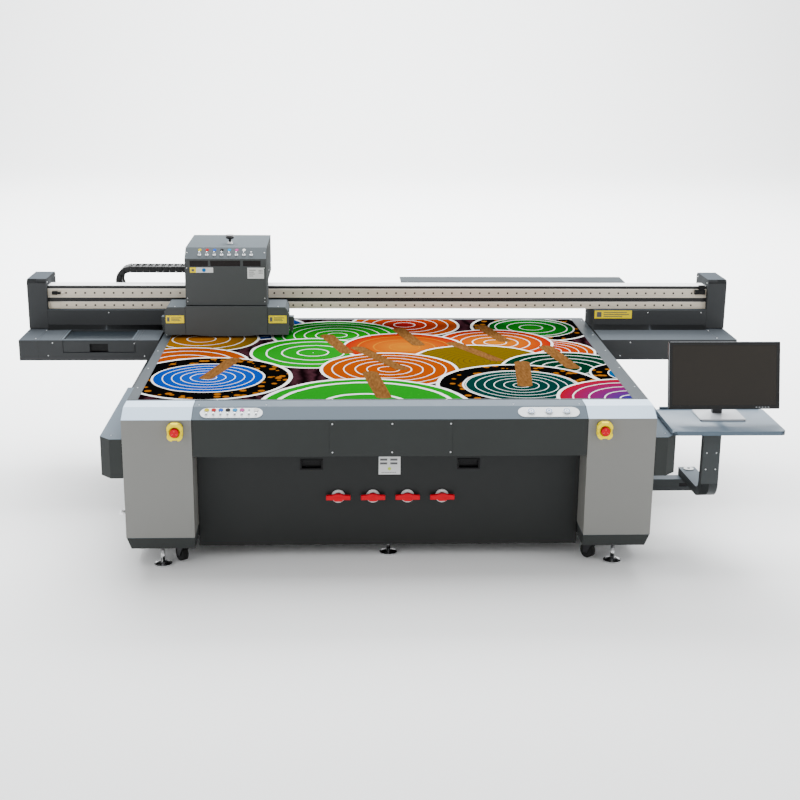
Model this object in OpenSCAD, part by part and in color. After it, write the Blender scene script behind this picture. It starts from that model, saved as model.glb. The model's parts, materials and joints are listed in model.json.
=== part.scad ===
// Flatbed UV printer. Millimetres, +Z up, X to the right, +Y to the back.
// Modules are drawn with y = 0 at the front of the columns; place() centres the depth.

/* [Table] */
// half width of the table over its edge strips
table_half = 1368; // [900:1:2000]
// where the table starts behind the front cover
table_front = 219; // [150:1:400]
// where the table ends at the back
table_back = 2240; // [1200:1:3000]
// height of the printing surface
table_top = 877; // [700:1:1000]

/* [Base] */
// half distance between the two front columns
gap_half = 1014; // [600:1:1400]
// height where the columns end and the skirts start
column_foot = 197; // [120:1:300]
// height where the sloped front edge starts
slope_z = 834; // [600:1:860]
// depth of the sloped front edge
slope_y = 96; // [40:1:180]
// depth of the columns
column_d = 214; // [120:1:300]
// how far back the lower front panel sits
panel_y = 190; // [80:1:210]
// lower edge of the sloped fascia
fascia_z = 636; // [500:1:750]
// thickness of sheet-metal covers
sheet = 3; // [2:0.5:6]
// height of the frame's underside
frame_z = 134; // [100:1:180]
// radius of a levelling foot
foot_r = 48; // [30:1:70]
// radius of a caster wheel
wheel_r = 40; // [25:1:60]
// half width over the side housings
housing_half = 1488; // [1400:1:2100]
// top of the side housings
housing_top = 733; // [600:1:760]

/* [Controls] */
// spacing of the four valves
valve_gap = 184; // [120:1:260]
// height of the valve centres
valve_z = 355; // [200:1:500]
// radius of a valve dial
dial_r = 36; // [20:1:60]
// length of a valve bar
valve_bar = 129; // [60:1:180]
// distance of the emergency stops from the middle
stop_x = 1096; // [1030:1:1350]
// height of the emergency stops
stop_z = 777; // [650:1:820]
// length of a control plate
plate_l = 318; // [200:1:400]
// distance of the control plates from the middle
plate_x = 814; // [500:1:850]

/* [Gantry] */
// half width over the wings and end covers
gantry_half = 2236; // [1800:1:3000]
// front of the wings
wing_front = 1588; // [1200:1:2200]
// front of the risers and end covers
riser_front = 1899; // [1500:1:2600]
// back of the gantry boxes
gantry_back = 2204; // [1800:1:3000]
// underside of the wings
wing_z = 749; // [745:1:800]
// inner end of the wings
wing_in = 1380; // [1374:1:1600]
// width of an end cover
cap_w = 119; // [60:1:200]
// top of the end covers
cap_top = 1198; // [1100:1:1300]
// front face of the beam
beam_y = 1957; // [1930:1:2100]
// depth of the beam
beam_d = 103; // [60:1:200]
// underside of the beam
beam_z = 1003; // [950:1:1050]
// top of the beam
beam_top = 1150; // [1100:1:1200]

/* [Carriage] */
// middle of the carriage along the beam
car_x = -964; // [-1300:1:1300]
// half width of the hood
hood_half = 250; // [150:1:350]
// half width over the lamp boxes
lamp_half = 382; // [300:1:450]
// front of the lower housing
car_front = 1647; // [1600:1:1800]
// underside of the lower housing
car_z = 897; // [890:1:920]
// top of the lamp boxes
lamp_top = 1073; // [1000:1:1080]
// top of the hood
hood_top = 1429; // [1300:1:1500]
// back of the hood
hood_back = 2258; // [2100:1:2300]

/* [Cable chain] */
// width of the chain
chain_w = 120; // [60:1:160]
// thickness of the chain
chain_h = 42; // [20:1:60]
// bend radius of the chain's middle line
chain_r = 75; // [50:1:120]
// middle of the chain's bend
chain_x = -1616; // [-1700:1:-1400]
// height of the middle of the bend
chain_z = 1149; // [1100:1:1200]
// front edge of the chain
chain_y = 2105; // [2065:1:2140]

/* [Monitor] */
// middle of the monitor shelf
shelf_x = 1750; // [1700:1:1900]
// width of the shelf
shelf_w = 588; // [400:1:700]
// depth of the shelf
shelf_d = 425; // [300:1:500]
// top of the shelf
shelf_z = 766; // [760:1:850]
// where the arm turns, sideways
pivot_x = 1681; // [1600:1:1750]
// where the arm turns, from the front
pivot_y = 480; // [400:1:600]
// width of the monitor
screen_w = 592; // [400:1:800]
// backward lean of the monitor at rest
screen_lean = 13; // [-5:1:21]
// height of the monitor
screen_h = 355; // [250:1:500]

/* [Hidden] */
board_x0 = -1313;
board_x1 = 1286;
front_y = -58;
back_y = 2262;
mid_y = (front_y + back_y) / 2;
wing_top = table_top;
slope_a = atan((table_top - slope_z) / slope_y);
hood_slope_y = 1750;
hood_slope_z = 1371;
hood_front = 1665;
hood_a = atan((hood_top - hood_slope_z) / (hood_slope_y - hood_front));
$fn = 40;

// which sub-part to draw

// ---- helpers ----
module place() {
    translate([0, -mid_y, 0]) children();
}

// a box given by its two corners
module bx(a, b) {
    translate(a) cube([b[0] - a[0], b[1] - a[1], b[2] - a[2]]);
}

// a profile drawn as [y, z] points, run along X from x0 to x1
module run_x(x0, x1) {
    translate([x0, 0, 0]) rotate([90, 0, 90]) linear_extrude(height = x1 - x0) children();
}

// a profile drawn as [x, z] points, run along Y from y0 to y1
module run_y(y0, y1) {
    translate([0, y1, 0]) rotate([90, 0, 0]) linear_extrude(height = y1 - y0) children();
}

// both sides of the machine
module both() {
    children();
    mirror([1, 0, 0]) children();
}

// channel along X, open to the back
module chan_x(x0, x1, y, z, w, h, t) {
    difference() {
        bx([x0, y, z], [x1, y + w, z + h]);
        bx([x0 - 1, y + t, z + t], [x1 + 1, y + w + 1, z + h - t]);
    }
}

// channel along Y, open to the middle
module chan_y(x, y0, y1, z, w, h, t) {
    difference() {
        bx([x, y0, z], [x + w, y1, z + h]);
        bx([x - 1, y0 - 1, z + t], [x + w - t, y1 + 1, z + h - t]);
    }
}

// a rectangle with round corners
module rrect(x0, y0, x1, y1, r) {
    translate([x0 + r, y0]) square([x1 - x0 - 2 * r, y1 - y0]);
    translate([x0, y0 + r]) square([x1 - x0, y1 - y0 - 2 * r]);
    for (x = [x0 + r, x1 - r], y = [y0 + r, y1 - r]) {
        translate([x, y]) circle(r = r);
    }
}

// stands on the sloped front edge, +Z is its normal
module on_slope(x) {
    translate([x, slope_y / 2, (slope_z + table_top) / 2]) rotate([slope_a, 0, 0]) children();
}

// stands on the hood's sloped panel, +Z is its normal
module on_hood(x) {
    translate([x, (hood_front + hood_slope_y) / 2, (hood_slope_z + hood_top) / 2])
        rotate([hood_a, 0, 0]) children();
}

// ---- base ----
module base_frame() {
    color([0.2, 0.21, 0.22]) {
        for (y = [216, 1180, 2140]) {
            chan_x(-1335, 1335, y, frame_z, 60, 80, 5);
            chan_x(-1335, 1335, y, 736, 60, 80, 5);
        }
        both() {
            for (z = [frame_z, 736]) {
                chan_y(1275, 216, 2200, z, 60, 80, 5);
            }
            for (y = [216, 800, 1500, 2140]) {
                bx([1270, y, frame_z + 70], [1335, y + 8, 740]);
                bx([1327, y, frame_z + 70], [1335, y + 60, 740]);
            }
            // plate over the front levelling foot
            bx([1150, 90, 204], [1335, 250, 212]);
            // plate under the column for the front foot and caster
            bx([1042, 60, 120], [1296, 238, 128]);
            bx([1288, 185, 127], [1296, 210, 205]);
            // beam that carries the guide rail
            chan_y(1335, 218, 2200, 533, 103, 42, 5);
        }
    }
}

module base_floor() {
    color([0.22, 0.23, 0.24]) bx([-1361, panel_y + 22, frame_z - 4], [1361, 2232, frame_z - 1]);
}

module column(s) {
    mirror([s, 0, 0]) difference() {
        run_x(gap_half, table_half)
            polygon([[0, column_foot], [0, slope_z], [slope_y, table_top],
                [column_d, table_top], [column_d, column_foot]]);
        run_x(gap_half + sheet, table_half - sheet)
            polygon([[sheet, column_foot - 1], [sheet, slope_z - 2], [slope_y, table_top - sheet],
                [column_d + 1, table_top - sheet], [column_d + 1, column_foot - 1]]);
    }
}

module column_left() {
    color([0.6, 0.6, 0.59]) column(1);
}

module column_right() {
    color([0.6, 0.6, 0.59]) column(0);
}

module column_skirts() {
    color([0.3, 0.31, 0.32]) both() difference() {
        intersection() {
            run_x(gap_half - 1, table_half)
                polygon([[2, column_foot - 1], [24, 128], [182, 128], [182, column_foot - 1]]);
            run_y(0, 183)
                polygon([[gap_half, column_foot - 1], [gap_half + 2, 128],
                    [table_half - 20, 128], [table_half - 1, column_foot - 1]]);
        }
        bx([gap_half + 12, 34, 120], [table_half - 32, 172, column_foot - 6]);
        // clear of the levelling foot and its nut
        translate([1200, 122, 100]) cylinder(h = 120, r = 18);
    }
}

module front_fascia() {
    color([0.27, 0.28, 0.29]) run_x(-gap_half + 2, gap_half - 2)
        polygon([[0, fascia_z], [0, slope_z], [slope_y, table_top], [column_d, table_top],
            [column_d, table_top - sheet], [slope_y + 1, table_top - sheet], [sheet, slope_z - 2],
            [sheet, fascia_z + sheet], [panel_y - 3, fascia_z + sheet], [panel_y - 3, fascia_z]]);
}

module fascia_cover() {
    color([0.27, 0.28, 0.29]) difference() {
        bx([-315, -2.5, fascia_z + 2], [315, -0.5, slope_z - 4]);
        for (x = [-300, 6, 306], z = [659, 811]) {
            translate([x, 1, z]) rotate([90, 0, 0]) cylinder(h = 5, r = 3);
        }
    }
}

module front_panel() {
    color([0.26, 0.27, 0.28]) difference() {
        union() {
            bx([-1012, panel_y, 78], [1012, panel_y + sheet, fascia_z - 2]);
            bx([-1012, panel_y, 78], [-1009, panel_y + 20, fascia_z - 2]);
            bx([1009, panel_y, 78], [1012, panel_y + 20, fascia_z - 2]);
        }
        for (x = [-412, 420]) {
            bx([x - 56, panel_y - 1, 506], [x + 56, panel_y + 5, 558]);
        }
    }
}

module panel_pulls() {
    color([0.03, 0.03, 0.03]) for (x = [-412, 420]) {
        difference() {
            bx([x - 55, panel_y - 2, 507], [x + 55, panel_y + 26, 557]);
            bx([x - 51, panel_y - 3, 511], [x + 51, panel_y + 23, 553]);
        }
    }
}

module valve_dials() {
    color([0.9, 0.9, 0.9]) for (k = [0 : 3]) {
        translate([5 + (k - 1.5) * valve_gap, panel_y - 0.5, valve_z]) rotate([90, 0, 0]) difference() {
            cylinder(h = 10, r = dial_r);
            translate([0, 0, -1]) cylinder(h = 12, r = dial_r - 14.5);
        }
    }
}

module valve_handle(k) {
    e = valve_bar / 2;
    color([0.8, 0.05, 0.06]) translate([5 + (k - 1.5) * valve_gap, panel_y - 0.5, valve_z])
        rotate([90, 0, 0]) {
            cylinder(h = 22, r = 19);
            translate([0, 0, 19]) linear_extrude(height = 20)
                polygon([[-e, -12], [-26, -12], [-18, -20], [18, -20], [26, -12], [e, -12],
                    [e, 13], [24, 17], [14, 22], [-14, 22], [-24, 17], [-e, 13]]);
            cylinder(h = 41, r = 7);
        }
}

module valve_handle_1() {
    valve_handle(0);
}

module valve_handle_2() {
    valve_handle(1);
}

module valve_handle_3() {
    valve_handle(2);
}

module valve_handle_4() {
    valve_handle(3);
}

module control_plates() {
    color([0.93, 0.94, 0.95]) {
        for (x = [-plate_x, plate_x]) {
            on_slope(x) translate([0, 0, 0.5]) linear_extrude(height = 2.5)
                rrect(-plate_l / 2, -38, plate_l / 2, 38, 37.9);
        }
        for (k = [0 : 7]) {
            on_slope(-plate_x + (k - 3.5) * 36) translate([0, -14, 3]) cylinder(h = 3, r = 7, $fn = 6);
        }
    }
}

module ink_toggles() {
    color([0.8, 0.8, 0.82]) for (k = [0 : 7]) {
        on_slope(-plate_x + (k - 3.5) * 36) translate([0, -14, 10]) union() {
            rotate([0, 90, 0]) cylinder(h = 5, r = 3.4, center = true);
            cylinder(h = 14.5, r = 3);
            translate([0, 0, 14.5]) sphere(r = 4.2);
        }
    }
}

module panel_buttons() {
    color([0.25, 0.55, 0.85]) for (k = [-1 : 1]) {
        on_slope(plate_x + k * 92) translate([0, 0, 6]) cylinder(h = 6, r = 19);
    }
}

module estop_guards() {
    color([0.95, 0.75, 0.05]) for (x = [-stop_x, stop_x]) {
        translate([x, -0.5, stop_z]) rotate([90, 0, 0]) difference() {
            linear_extrude(height = 34) rrect(-39, -45, 39, 45, 24);
            translate([0, 0, 6]) cylinder(h = 40, r = 29);
            translate([0, 0, -1]) cylinder(h = 20, r = 15);
            // gaps in the ring's rim
            translate([-50, -16, 18]) cube([15, 26, 30]);
            translate([35, -16, 18]) cube([15, 26, 30]);
            translate([-14, -50, 18]) cube([28, 11, 30]);
        }
    }
}

module estop(x) {
    color([0.8, 0.04, 0.04]) translate([x, -8, stop_z]) rotate([90, 0, 0]) {
        cylinder(h = 36, r = 12);
        translate([0, 0, 26]) cylinder(h = 24, r = 22);
    }
}

module estop_left() {
    estop(-stop_x);
}

module estop_right() {
    estop(stop_x);
}

module vacuum_table() {
    color([0.55, 0.57, 0.58]) difference() {
        bx([-table_half + 4, table_front + 1, table_top - 60], [table_half - 4, table_back - 4, table_top - 4]);
        for (i = [0 : 3], j = [0 : 2]) {
            bx([-1334 + i * 670, 250 + j * 662, table_top - 70],
                [-1334 + i * 670 + 656, 250 + j * 662 + 648, table_top - 12]);
        }
    }
}

module table_edging() {
    t = table_top - sheet;
    color([0.62, 0.65, 0.67]) {
        bx([board_x1 + 1, table_front, t], [table_half, table_back, table_top]);
        bx([-table_half, table_front, t], [board_x0 - 1, table_back, table_top]);
        both() bx([table_half - sheet, table_front, 748], [table_half, table_back, table_top]);
        bx([board_x0 - 0.4, 2186, t], [board_x1 + 0.4, table_back, table_top]);
        bx([-table_half + sheet + 0.6, table_back - sheet, 748],
            [table_half - sheet - 0.6, table_back, t - 0.6]);
        bx([board_x0 - 0.4, table_back - sheet, t - 2], [board_x1 + 0.4, table_back, table_top]);
        bx([board_x0 - 0.4, table_front, t], [board_x1 + 0.4, 232.4, table_top]);
    }
}

module print_board() {
    color([0.85, 0.45, 0.2]) bx([board_x0, 233, table_top - sheet], [board_x1, 2185.5, table_top]);
}

module side_housings() {
    h = housing_half;
    color([0.33, 0.34, 0.36]) both() {
        // wide box beside the column, with its front corner cut off
        difference() {
            translate([0, 0, 523]) linear_extrude(height = housing_top - 523)
                polygon([[1369.5, 0.5], [h - 56, 0.5], [h, 60], [h, 1010], [1369.5, 1010]]);
            translate([0, 0, 523 + sheet]) linear_extrude(height = housing_top - 523 - 2 * sheet)
                polygon([[1360, 0.5 + sheet], [h - 57.2, 0.5 + sheet], [h - sheet, 61.2],
                    [h - sheet, 1020], [1360, 1020]]);
            bx([1360, 640, housing_top - 10], [1392, 1020, housing_top + 10]);
        }
        // narrower cover over the rest of the guide rail
        difference() {
            bx([1369.5, 1012, 523], [1467, 2236, housing_top]);
            bx([1360, 1000, 523 + sheet], [1467 - sheet, 2236 - sheet, housing_top - sheet]);
            bx([1360, 1000, housing_top - 10], [1392, 2236 - sheet, housing_top + 10]);
        }
    }
}

module base_panels() {
    color([0.3, 0.31, 0.32]) {
        both() bx([1362, column_d + 3, 84], [1365, 2236, 520]);
        bx([-1361, 2233, 84], [1361, 2236, 745]);
    }
}

module y_rails() {
    color([0.7, 0.71, 0.72]) both() difference() {
        bx([1404, 222, 575.5], [1436, 2195, 608]);
        bx([1400, 200, 588], [1410, 2200, 597]);
        bx([1430, 200, 588], [1440, 2200, 597]);
    }
}

module levelling_feet() {
    color([0.75, 0.76, 0.77]) for (p = [[-1200, 122], [1200, 122], [0, 262], [-1200, 2110],
        [1200, 2110], [0, 2110]]) {
        translate([p[0], p[1], 0]) {
            cylinder(h = 9, r = foot_r);
            translate([0, 0, 9]) cylinder(h = 9, r1 = foot_r - 4, r2 = 18);
            translate([0, 0, 17]) cylinder(h = (p[1] < 200 ? 119.5 : 128.5) - 17, r = 11);
            translate([0, 0, 103]) cylinder(h = 13, r = 21, $fn = 6);
        }
    }
}

module caster_fork(x, y, a, top) {
    color([0.12, 0.12, 0.13]) translate([x, y, 0]) rotate([0, 0, a]) {
        translate([0, 0, 107]) cylinder(h = top - 107, r = 24);
        translate([-22, -26, 101]) cube([44, 52, 7]);
        for (s = [-22, 19]) {
            translate([s, 0, 0]) rotate([90, 0, 90]) linear_extrude(height = 3)
                polygon([[-26, 108], [26, 108], [38, 60], [38, 36], [14, 36]]);
        }
    }
}

module caster_wheel(x, y, a) {
    color([0.06, 0.06, 0.06]) translate([x, y, 0]) rotate([0, 0, a])
        translate([-16, 24, 6 + wheel_r]) rotate([0, 90, 0]) {
            cylinder(h = 32, r = wheel_r);
            translate([0, 0, -2.6]) cylinder(h = 37.2, r = 12);
        }
}

module caster_fork_1() {
    caster_fork(-1090, 150, 38, 119.5);
}

module caster_fork_2() {
    caster_fork(1090, 150, 38, 119.5);
}

module caster_fork_3() {
    caster_fork(-1100, 1960, 0, 129.5);
}

module caster_fork_4() {
    caster_fork(1100, 1960, 0, 129.5);
}

module caster_wheel_1() {
    caster_wheel(-1090, 150, 38);
}

module caster_wheel_2() {
    caster_wheel(1090, 150, 38);
}

module caster_wheel_3() {
    caster_wheel(-1100, 1960, 0);
}

module caster_wheel_4() {
    caster_wheel(1100, 1960, 0);
}

// ---- gantry ----
module gantry_beam() {
    e = gantry_half - cap_w - 1;
    color([0.9, 0.9, 0.89]) difference() {
        bx([-e, beam_y, beam_z], [e, beam_y + beam_d, beam_top]);
        bx([-e - 1, beam_y + 8, beam_z + 8], [e + 1, beam_y + beam_d - 8, beam_top - 8]);
    }
}

module beam_rails() {
    e = gantry_half - cap_w - 1;
    color([0.84, 0.8, 0.72]) for (z = [[beam_z + 0.5, beam_z + 45], [beam_z + 72, beam_z + 129.5]]) {
        bx([-e, beam_y - 20, z[0]], [e, beam_y - 0.5, z[1]]);
    }
}

module magnet_track() {
    e = gantry_half - cap_w - 1;
    color([0.05, 0.05, 0.05]) {
        bx([-e, beam_y - 12, beam_z + 45.5], [e, beam_y - 0.5, beam_z + 71.5]);
        bx([-e, beam_y - 16, beam_z + 130], [e, beam_y - 0.5, beam_z + 146.5]);
    }
}

module end_covers() {
    r = 26;
    color([0.4, 0.42, 0.43]) both() difference() {
        run_x(gantry_half - cap_w, gantry_half) rrect(riser_front, wing_top + 4, gantry_back, cap_top, r);
        run_x(gantry_half - cap_w + sheet, gantry_half - sheet)
            rrect(riser_front + sheet, wing_top - 30, gantry_back - sheet, cap_top - sheet, r - sheet);
        bx([gantry_half - cap_w - 1, riser_front - 1, 0], [gantry_half + 1, gantry_back + 1, wing_top + 4]);
    }
    color([0.4, 0.42, 0.43]) both() difference() {
        bx([gantry_half - cap_w, riser_front, wing_top + 4], [gantry_half, gantry_back, wing_top + 32]);
        bx([gantry_half - cap_w + sheet, riser_front + sheet, 0],
            [gantry_half - sheet, gantry_back - sheet, cap_top]);
    }
}

module wing(s) {
    f = 30;
    e = gantry_half - cap_w - 1;
    g = wing_top + 0.5;
    mirror([s, 0, 0]) {
        // tray box
        difference() {
            bx([wing_in, wing_front, wing_z], [gantry_half, gantry_back, wing_top]);
            bx([wing_in + sheet, wing_front + sheet, wing_z + sheet],
                [gantry_half - sheet, gantry_back - sheet, wing_top - sheet]);
            // cable slot in the back
            bx([1600, gantry_back - 10, 780], [1800, gantry_back + 10, 840]);
        }
        // riser under the beam, with a hollow curve at its foot
        difference() {
            union() {
                bx([wing_in, riser_front, g], [e, gantry_back, beam_z - 2]);
                difference() {
                    bx([wing_in, riser_front - f, g], [e, riser_front + 1, g + f]);
                    translate([0, riser_front - f, g + f]) rotate([0, 90, 0])
                        cylinder(h = 3000, r = f);
                }
            }
            bx([wing_in + sheet, riser_front + sheet, g + sheet],
                [e - sheet, gantry_back - sheet, beam_z - 2 - sheet]);
            bx([1600, gantry_back - 10, 900], [1800, gantry_back + 10, 960]);
        }
    }
}

module wing_left() {
    color([0.36, 0.38, 0.39]) {
        difference() {
            wing(1);
            // drawer mouth in the front
            bx([-1968, wing_front - 1, 799], [-1525, wing_front + 5, wing_top - 3.5]);
            // recessed lid
            bx([-1967, 1617, wing_top - 15], [-1547, 1877, wing_top + 1]);
        }
        difference() {
            bx([-1970, 1614, wing_top - 14], [-1544, 1880, wing_top - 1]);
            bx([-1967, 1617, wing_top - 12], [-1547, 1877, wing_top + 1]);
        }
    }
}

module wing_right() {
    color([0.36, 0.38, 0.39]) wing(0);
}

module gantry_legs() {
    color([0.3, 0.31, 0.32]) both() {
        bx([1374, 1640, 640], [1386, 2180, wing_z - 0.5]);
        for (y = [1650, 2020]) {
            difference() {
                bx([1374, y, 590], [1456, y + 150, 642]);
                bx([1403, y - 1, 580], [1437, y + 151, 609]);
                bx([1436, y - 1, 580], [1460, y + 151, 592]);
            }
        }
    }
}

module chain_trays() {
    color([0.2, 0.21, 0.22]) {
        difference() {
            bx([-2105, chain_y - 10, 1046], [135, chain_y + chain_w + 10, 1116]);
            bx([-2110, chain_y - 8, 1048], [140, chain_y + chain_w + 8, 1150]);
        }
        difference() {
            bx([135.5, 2076, 1140], [1610, back_y, 1152]);
            bx([130, 2080, 1135], [1620, back_y - 4, 1149]);
        }
        for (x = [-2000, -1300, -600, 20]) {
            bx([x, beam_y + beam_d + 0.5, 1034], [x + 60, chain_y + chain_w, 1047]);
        }
        for (x = [300, 900, 1450]) {
            bx([x, beam_y + beam_d + 0.5, 1100], [x + 60, beam_y + beam_d + 8, 1149]);
            bx([x, beam_y + beam_d + 0.5, 1141], [x + 60, 2200, 1149.5]);
        }
    }
}

module chain_lower_run() {
    color([0.04, 0.04, 0.04])
        bx([chain_x + 1, chain_y, chain_z - chain_r - chain_h / 2],
            [100, chain_y + chain_w, chain_z - chain_r + chain_h / 2]);
}

module chain_bend() {
    color([0.04, 0.04, 0.04]) translate([chain_x, chain_y + chain_w, chain_z]) rotate([90, 0, 0])
        difference() {
            cylinder(h = chain_w, r = chain_r + chain_h / 2);
            translate([0, 0, -1]) cylinder(h = chain_w + 2, r = chain_r - chain_h / 2);
            translate([0, -200, -1]) cube([400, 400, chain_w + 2]);
        }
}

module chain_upper_run() {
    color([0.04, 0.04, 0.04])
        bx([chain_x + 1, chain_y, chain_z + chain_r - chain_h / 2],
            [-1240, chain_y + chain_w, chain_z + chain_r + chain_h / 2]);
}

module chain_end() {
    color([0.5, 0.51, 0.52]) {
        bx([-1239, 1897, 1085], [-1217, 1903, 1196]);
        bx([-1239, 1897, 1190], [-1217, chain_y + chain_w, 1196]);
        bx([-1239, chain_y, 1190], [-1217, chain_y + chain_w, 1245]);
    }
}

module waste_drawer() {
    color([0.34, 0.35, 0.37]) difference() {
        union() {
            bx([-1965, wing_front, 803], [-1528, wing_front + 3, wing_top - 5]);
            bx([-1958, wing_front + 3, 803], [-1535, wing_front + 250, wing_top - 17]);
        }
        bx([-1955, wing_front + 30, 806], [-1538, wing_front + 247, 880]);
        // finger notch in the front
        bx([-1804, wing_front - 1, 800], [-1692, wing_front + 24, 854]);
    }
}

// ---- carriage ----
module cross_slide() {
    color([0.55, 0.56, 0.57]) {
        bx([car_x - hood_half + 2, 1897, beam_z + 4], [car_x + hood_half - 2, 1912, 1150]);
        for (x = [car_x - 220, car_x + 100], z = [beam_z + 8, beam_z + 82]) {
            bx([x, 1911, z], [x + 120, 1936, z + 40]);
        }
    }
}

module carriage_base() {
    color([0.3, 0.31, 0.33]) difference() {
        bx([car_x - hood_half - 3, car_front, car_z], [car_x + hood_half + 3, 1888, 1079]);
        bx([car_x - hood_half, car_front + sheet, car_z + sheet],
            [car_x + hood_half, 1888 - sheet, 1090]);
        bx([car_x - 190, car_front + 40, car_z - 5], [car_x + 190, 1850, car_z + 10]);
    }
}

module carriage_hood() {
    color([0.33, 0.34, 0.36]) difference() {
        run_x(car_x - hood_half, car_x + hood_half)
            polygon([[hood_front, 1081], [hood_front, hood_slope_z], [hood_slope_y, hood_top],
                [hood_back, hood_top], [hood_back, 1197], [1894, 1197], [1894, 1081]]);
        run_x(car_x - hood_half + sheet, car_x + hood_half - sheet)
            polygon([[hood_front + sheet, 1070], [hood_front + sheet, hood_slope_z - 2],
                [hood_slope_y + 1, hood_top - sheet], [hood_back - sheet, hood_top - sheet],
                [hood_back - sheet, 1197 + sheet], [1894 - sheet, 1197 + sheet], [1894 - sheet, 1070]]);
        // three vent windows in the front
        for (w = [[-1182, -1071], [-1056, -873], [-856, -748]]) {
            bx([w[0], hood_front - 1, 1325], [w[1], hood_front + 5, 1360]);
        }
    }
}

module uv_lamps() {
    color([0.3, 0.31, 0.33]) {
        for (s = [-1, 1]) {
            translate([car_x + s * (lamp_half - 64), 0, 0]) {
                difference() {
                    mirror([s < 0 ? 1 : 0, 0, 0]) run_y(car_front, 1888) polygon([[-63.5, car_z], [64.5, car_z],
                        [64.5, lamp_top - 28], [47, lamp_top], [-63.5, lamp_top]]);
                    mirror([s < 0 ? 1 : 0, 0, 0]) run_y(car_front + sheet, 1885) polygon([[-60.5, car_z - 5],
                        [61.5, car_z - 5], [61.5, lamp_top - 29], [45.3, lamp_top - sheet], [-60.5, lamp_top - sheet]]);
                }
                bx([-40, car_front + 30, car_z + 6], [40, 1870, lamp_top - 20]);
            }
        }
        // end-stop bumpers
        for (x = [-1378, -580.5]) {
            bx([x, 1742, 936], [x + 30, 1796, 992]);
            bx([x + 5, 1750, 899], [x + 25, 1788, 937]);
        }
    }
}

module print_heads() {
    color([0.6, 0.61, 0.62]) {
        bx([car_x - 188, car_front + 42, car_z - 6], [car_x + 188, 1848, car_z + 2]);
        for (i = [0 : 5]) {
            bx([car_x - 178 + i * 61, car_front + 52, car_z - 13], [car_x - 178 + i * 61 + 50, 1838, 1000]);
        }
    }
}

module hood_knob() {
    color([0.08, 0.08, 0.09]) translate([car_x + 13, 1900, hood_top + 0.5]) {
        cylinder(h = 30, r = 8);
        translate([0, 0, 28]) cylinder(h = 6, r1 = 14, r2 = 26);
        translate([0, 0, 34]) cylinder(h = 20, r = 26);
    }
}

module carriage_toggles() {
    color([0.8, 0.8, 0.82]) for (k = [0 : 7]) {
        on_hood(-1124 + k * 45.4) translate([0, -16, 7]) union() {
            rotate([0, 90, 0]) cylinder(h = 5.4, r = 3.6, center = true);
            cylinder(h = 16.5, r = 3.2);
            translate([0, 0, 16.5]) sphere(r = 4.6);
        }
    }
}

// ---- monitor ----
module monitor_bar() {
    color([0.18, 0.19, 0.2]) {
        difference() {
            bx([1366, 443, 283], [1716, 517, 350]);
            bx([1368, 446, 286], [1713, 530, 347]);
            bx([1624, 435, 306], [1680, 455, 328]);
        }
        translate([pivot_x, pivot_y, 283]) cylinder(h = 67, r = 24);
    }
}

// the arm stands a little turned from the machine's depth
module arm_turn() {
    translate([pivot_x, pivot_y, 0]) rotate([0, 0, 2.1]) children();
}

module shelf_arm() {
    r = 92;
    z = 351;
    color([0.3, 0.31, 0.32]) arm_turn() {
        run_x(-46, 46) {
            translate([-376, z + r]) square([45, shelf_z - 22.5 - z - r]);
            translate([-376 + r, z]) square([376 - r + 42, 45]);
            intersection() {
                translate([-376 + r, z + r]) difference() {
                    circle(r = r);
                    circle(r = r - 45);
                }
                translate([-376, z]) square([r, r]);
            }
        }
        translate([0, 0, z + 44]) cylinder(h = 5, r = 28);
        translate([0, 0, z + 48]) cylinder(h = 6, r = 9, $fn = 6);
    }
}

module shelf_top() {
    x0 = shelf_x - shelf_w / 2;
    color([0.6, 0.66, 0.7]) {
        translate([0, 0, shelf_z - 22]) linear_extrude(height = 22)
            rrect(x0, -12, x0 + shelf_w, shelf_d - 12, 26);
        bx([x0 + 20, shelf_d - 19, shelf_z - 1], [x0 + shelf_w - 20, shelf_d - 12, shelf_z + 13]);
    }
}

module monitor_stand() {
    color([0.75, 0.76, 0.78]) {
        translate([0, 0, shelf_z + 0.5]) linear_extrude(height = 9) rrect(1643, 176, 1886, 366, 10);
        bx([1738, 296, shelf_z + 8], [1790, 326, 1000]);
        bx([1738, 270, 960], [1790, 300, 1000]);
        translate([1728, 270, 980]) rotate([0, 90, 0]) cylinder(h = 72, r = 10);
    }
}

module monitor() {
    x0 = 1762 - screen_w / 2;
    color([0.05, 0.05, 0.05]) translate([0, 270, 980]) rotate([-screen_lean, 0, 0]) translate([0, -270, -980]) {
        difference() {
            translate([0, 225, 0]) rotate([90, 0, 0]) linear_extrude(height = 23)
                rrect(x0, 816, x0 + screen_w, 816 + screen_h, 7);
            bx([x0 + 18, 201, 816 + 19], [x0 + screen_w - 18, 204, 816 + screen_h - 18]);
        }
        bx([x0 + 130, 224, 880], [x0 + screen_w - 130, 255, 1090]);
        // lugs either side of the stand's pivot
        for (x = [1712, 1802]) {
            bx([x, 254, 968], [x + 14, 284, 992]);
        }
    }
}

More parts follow.
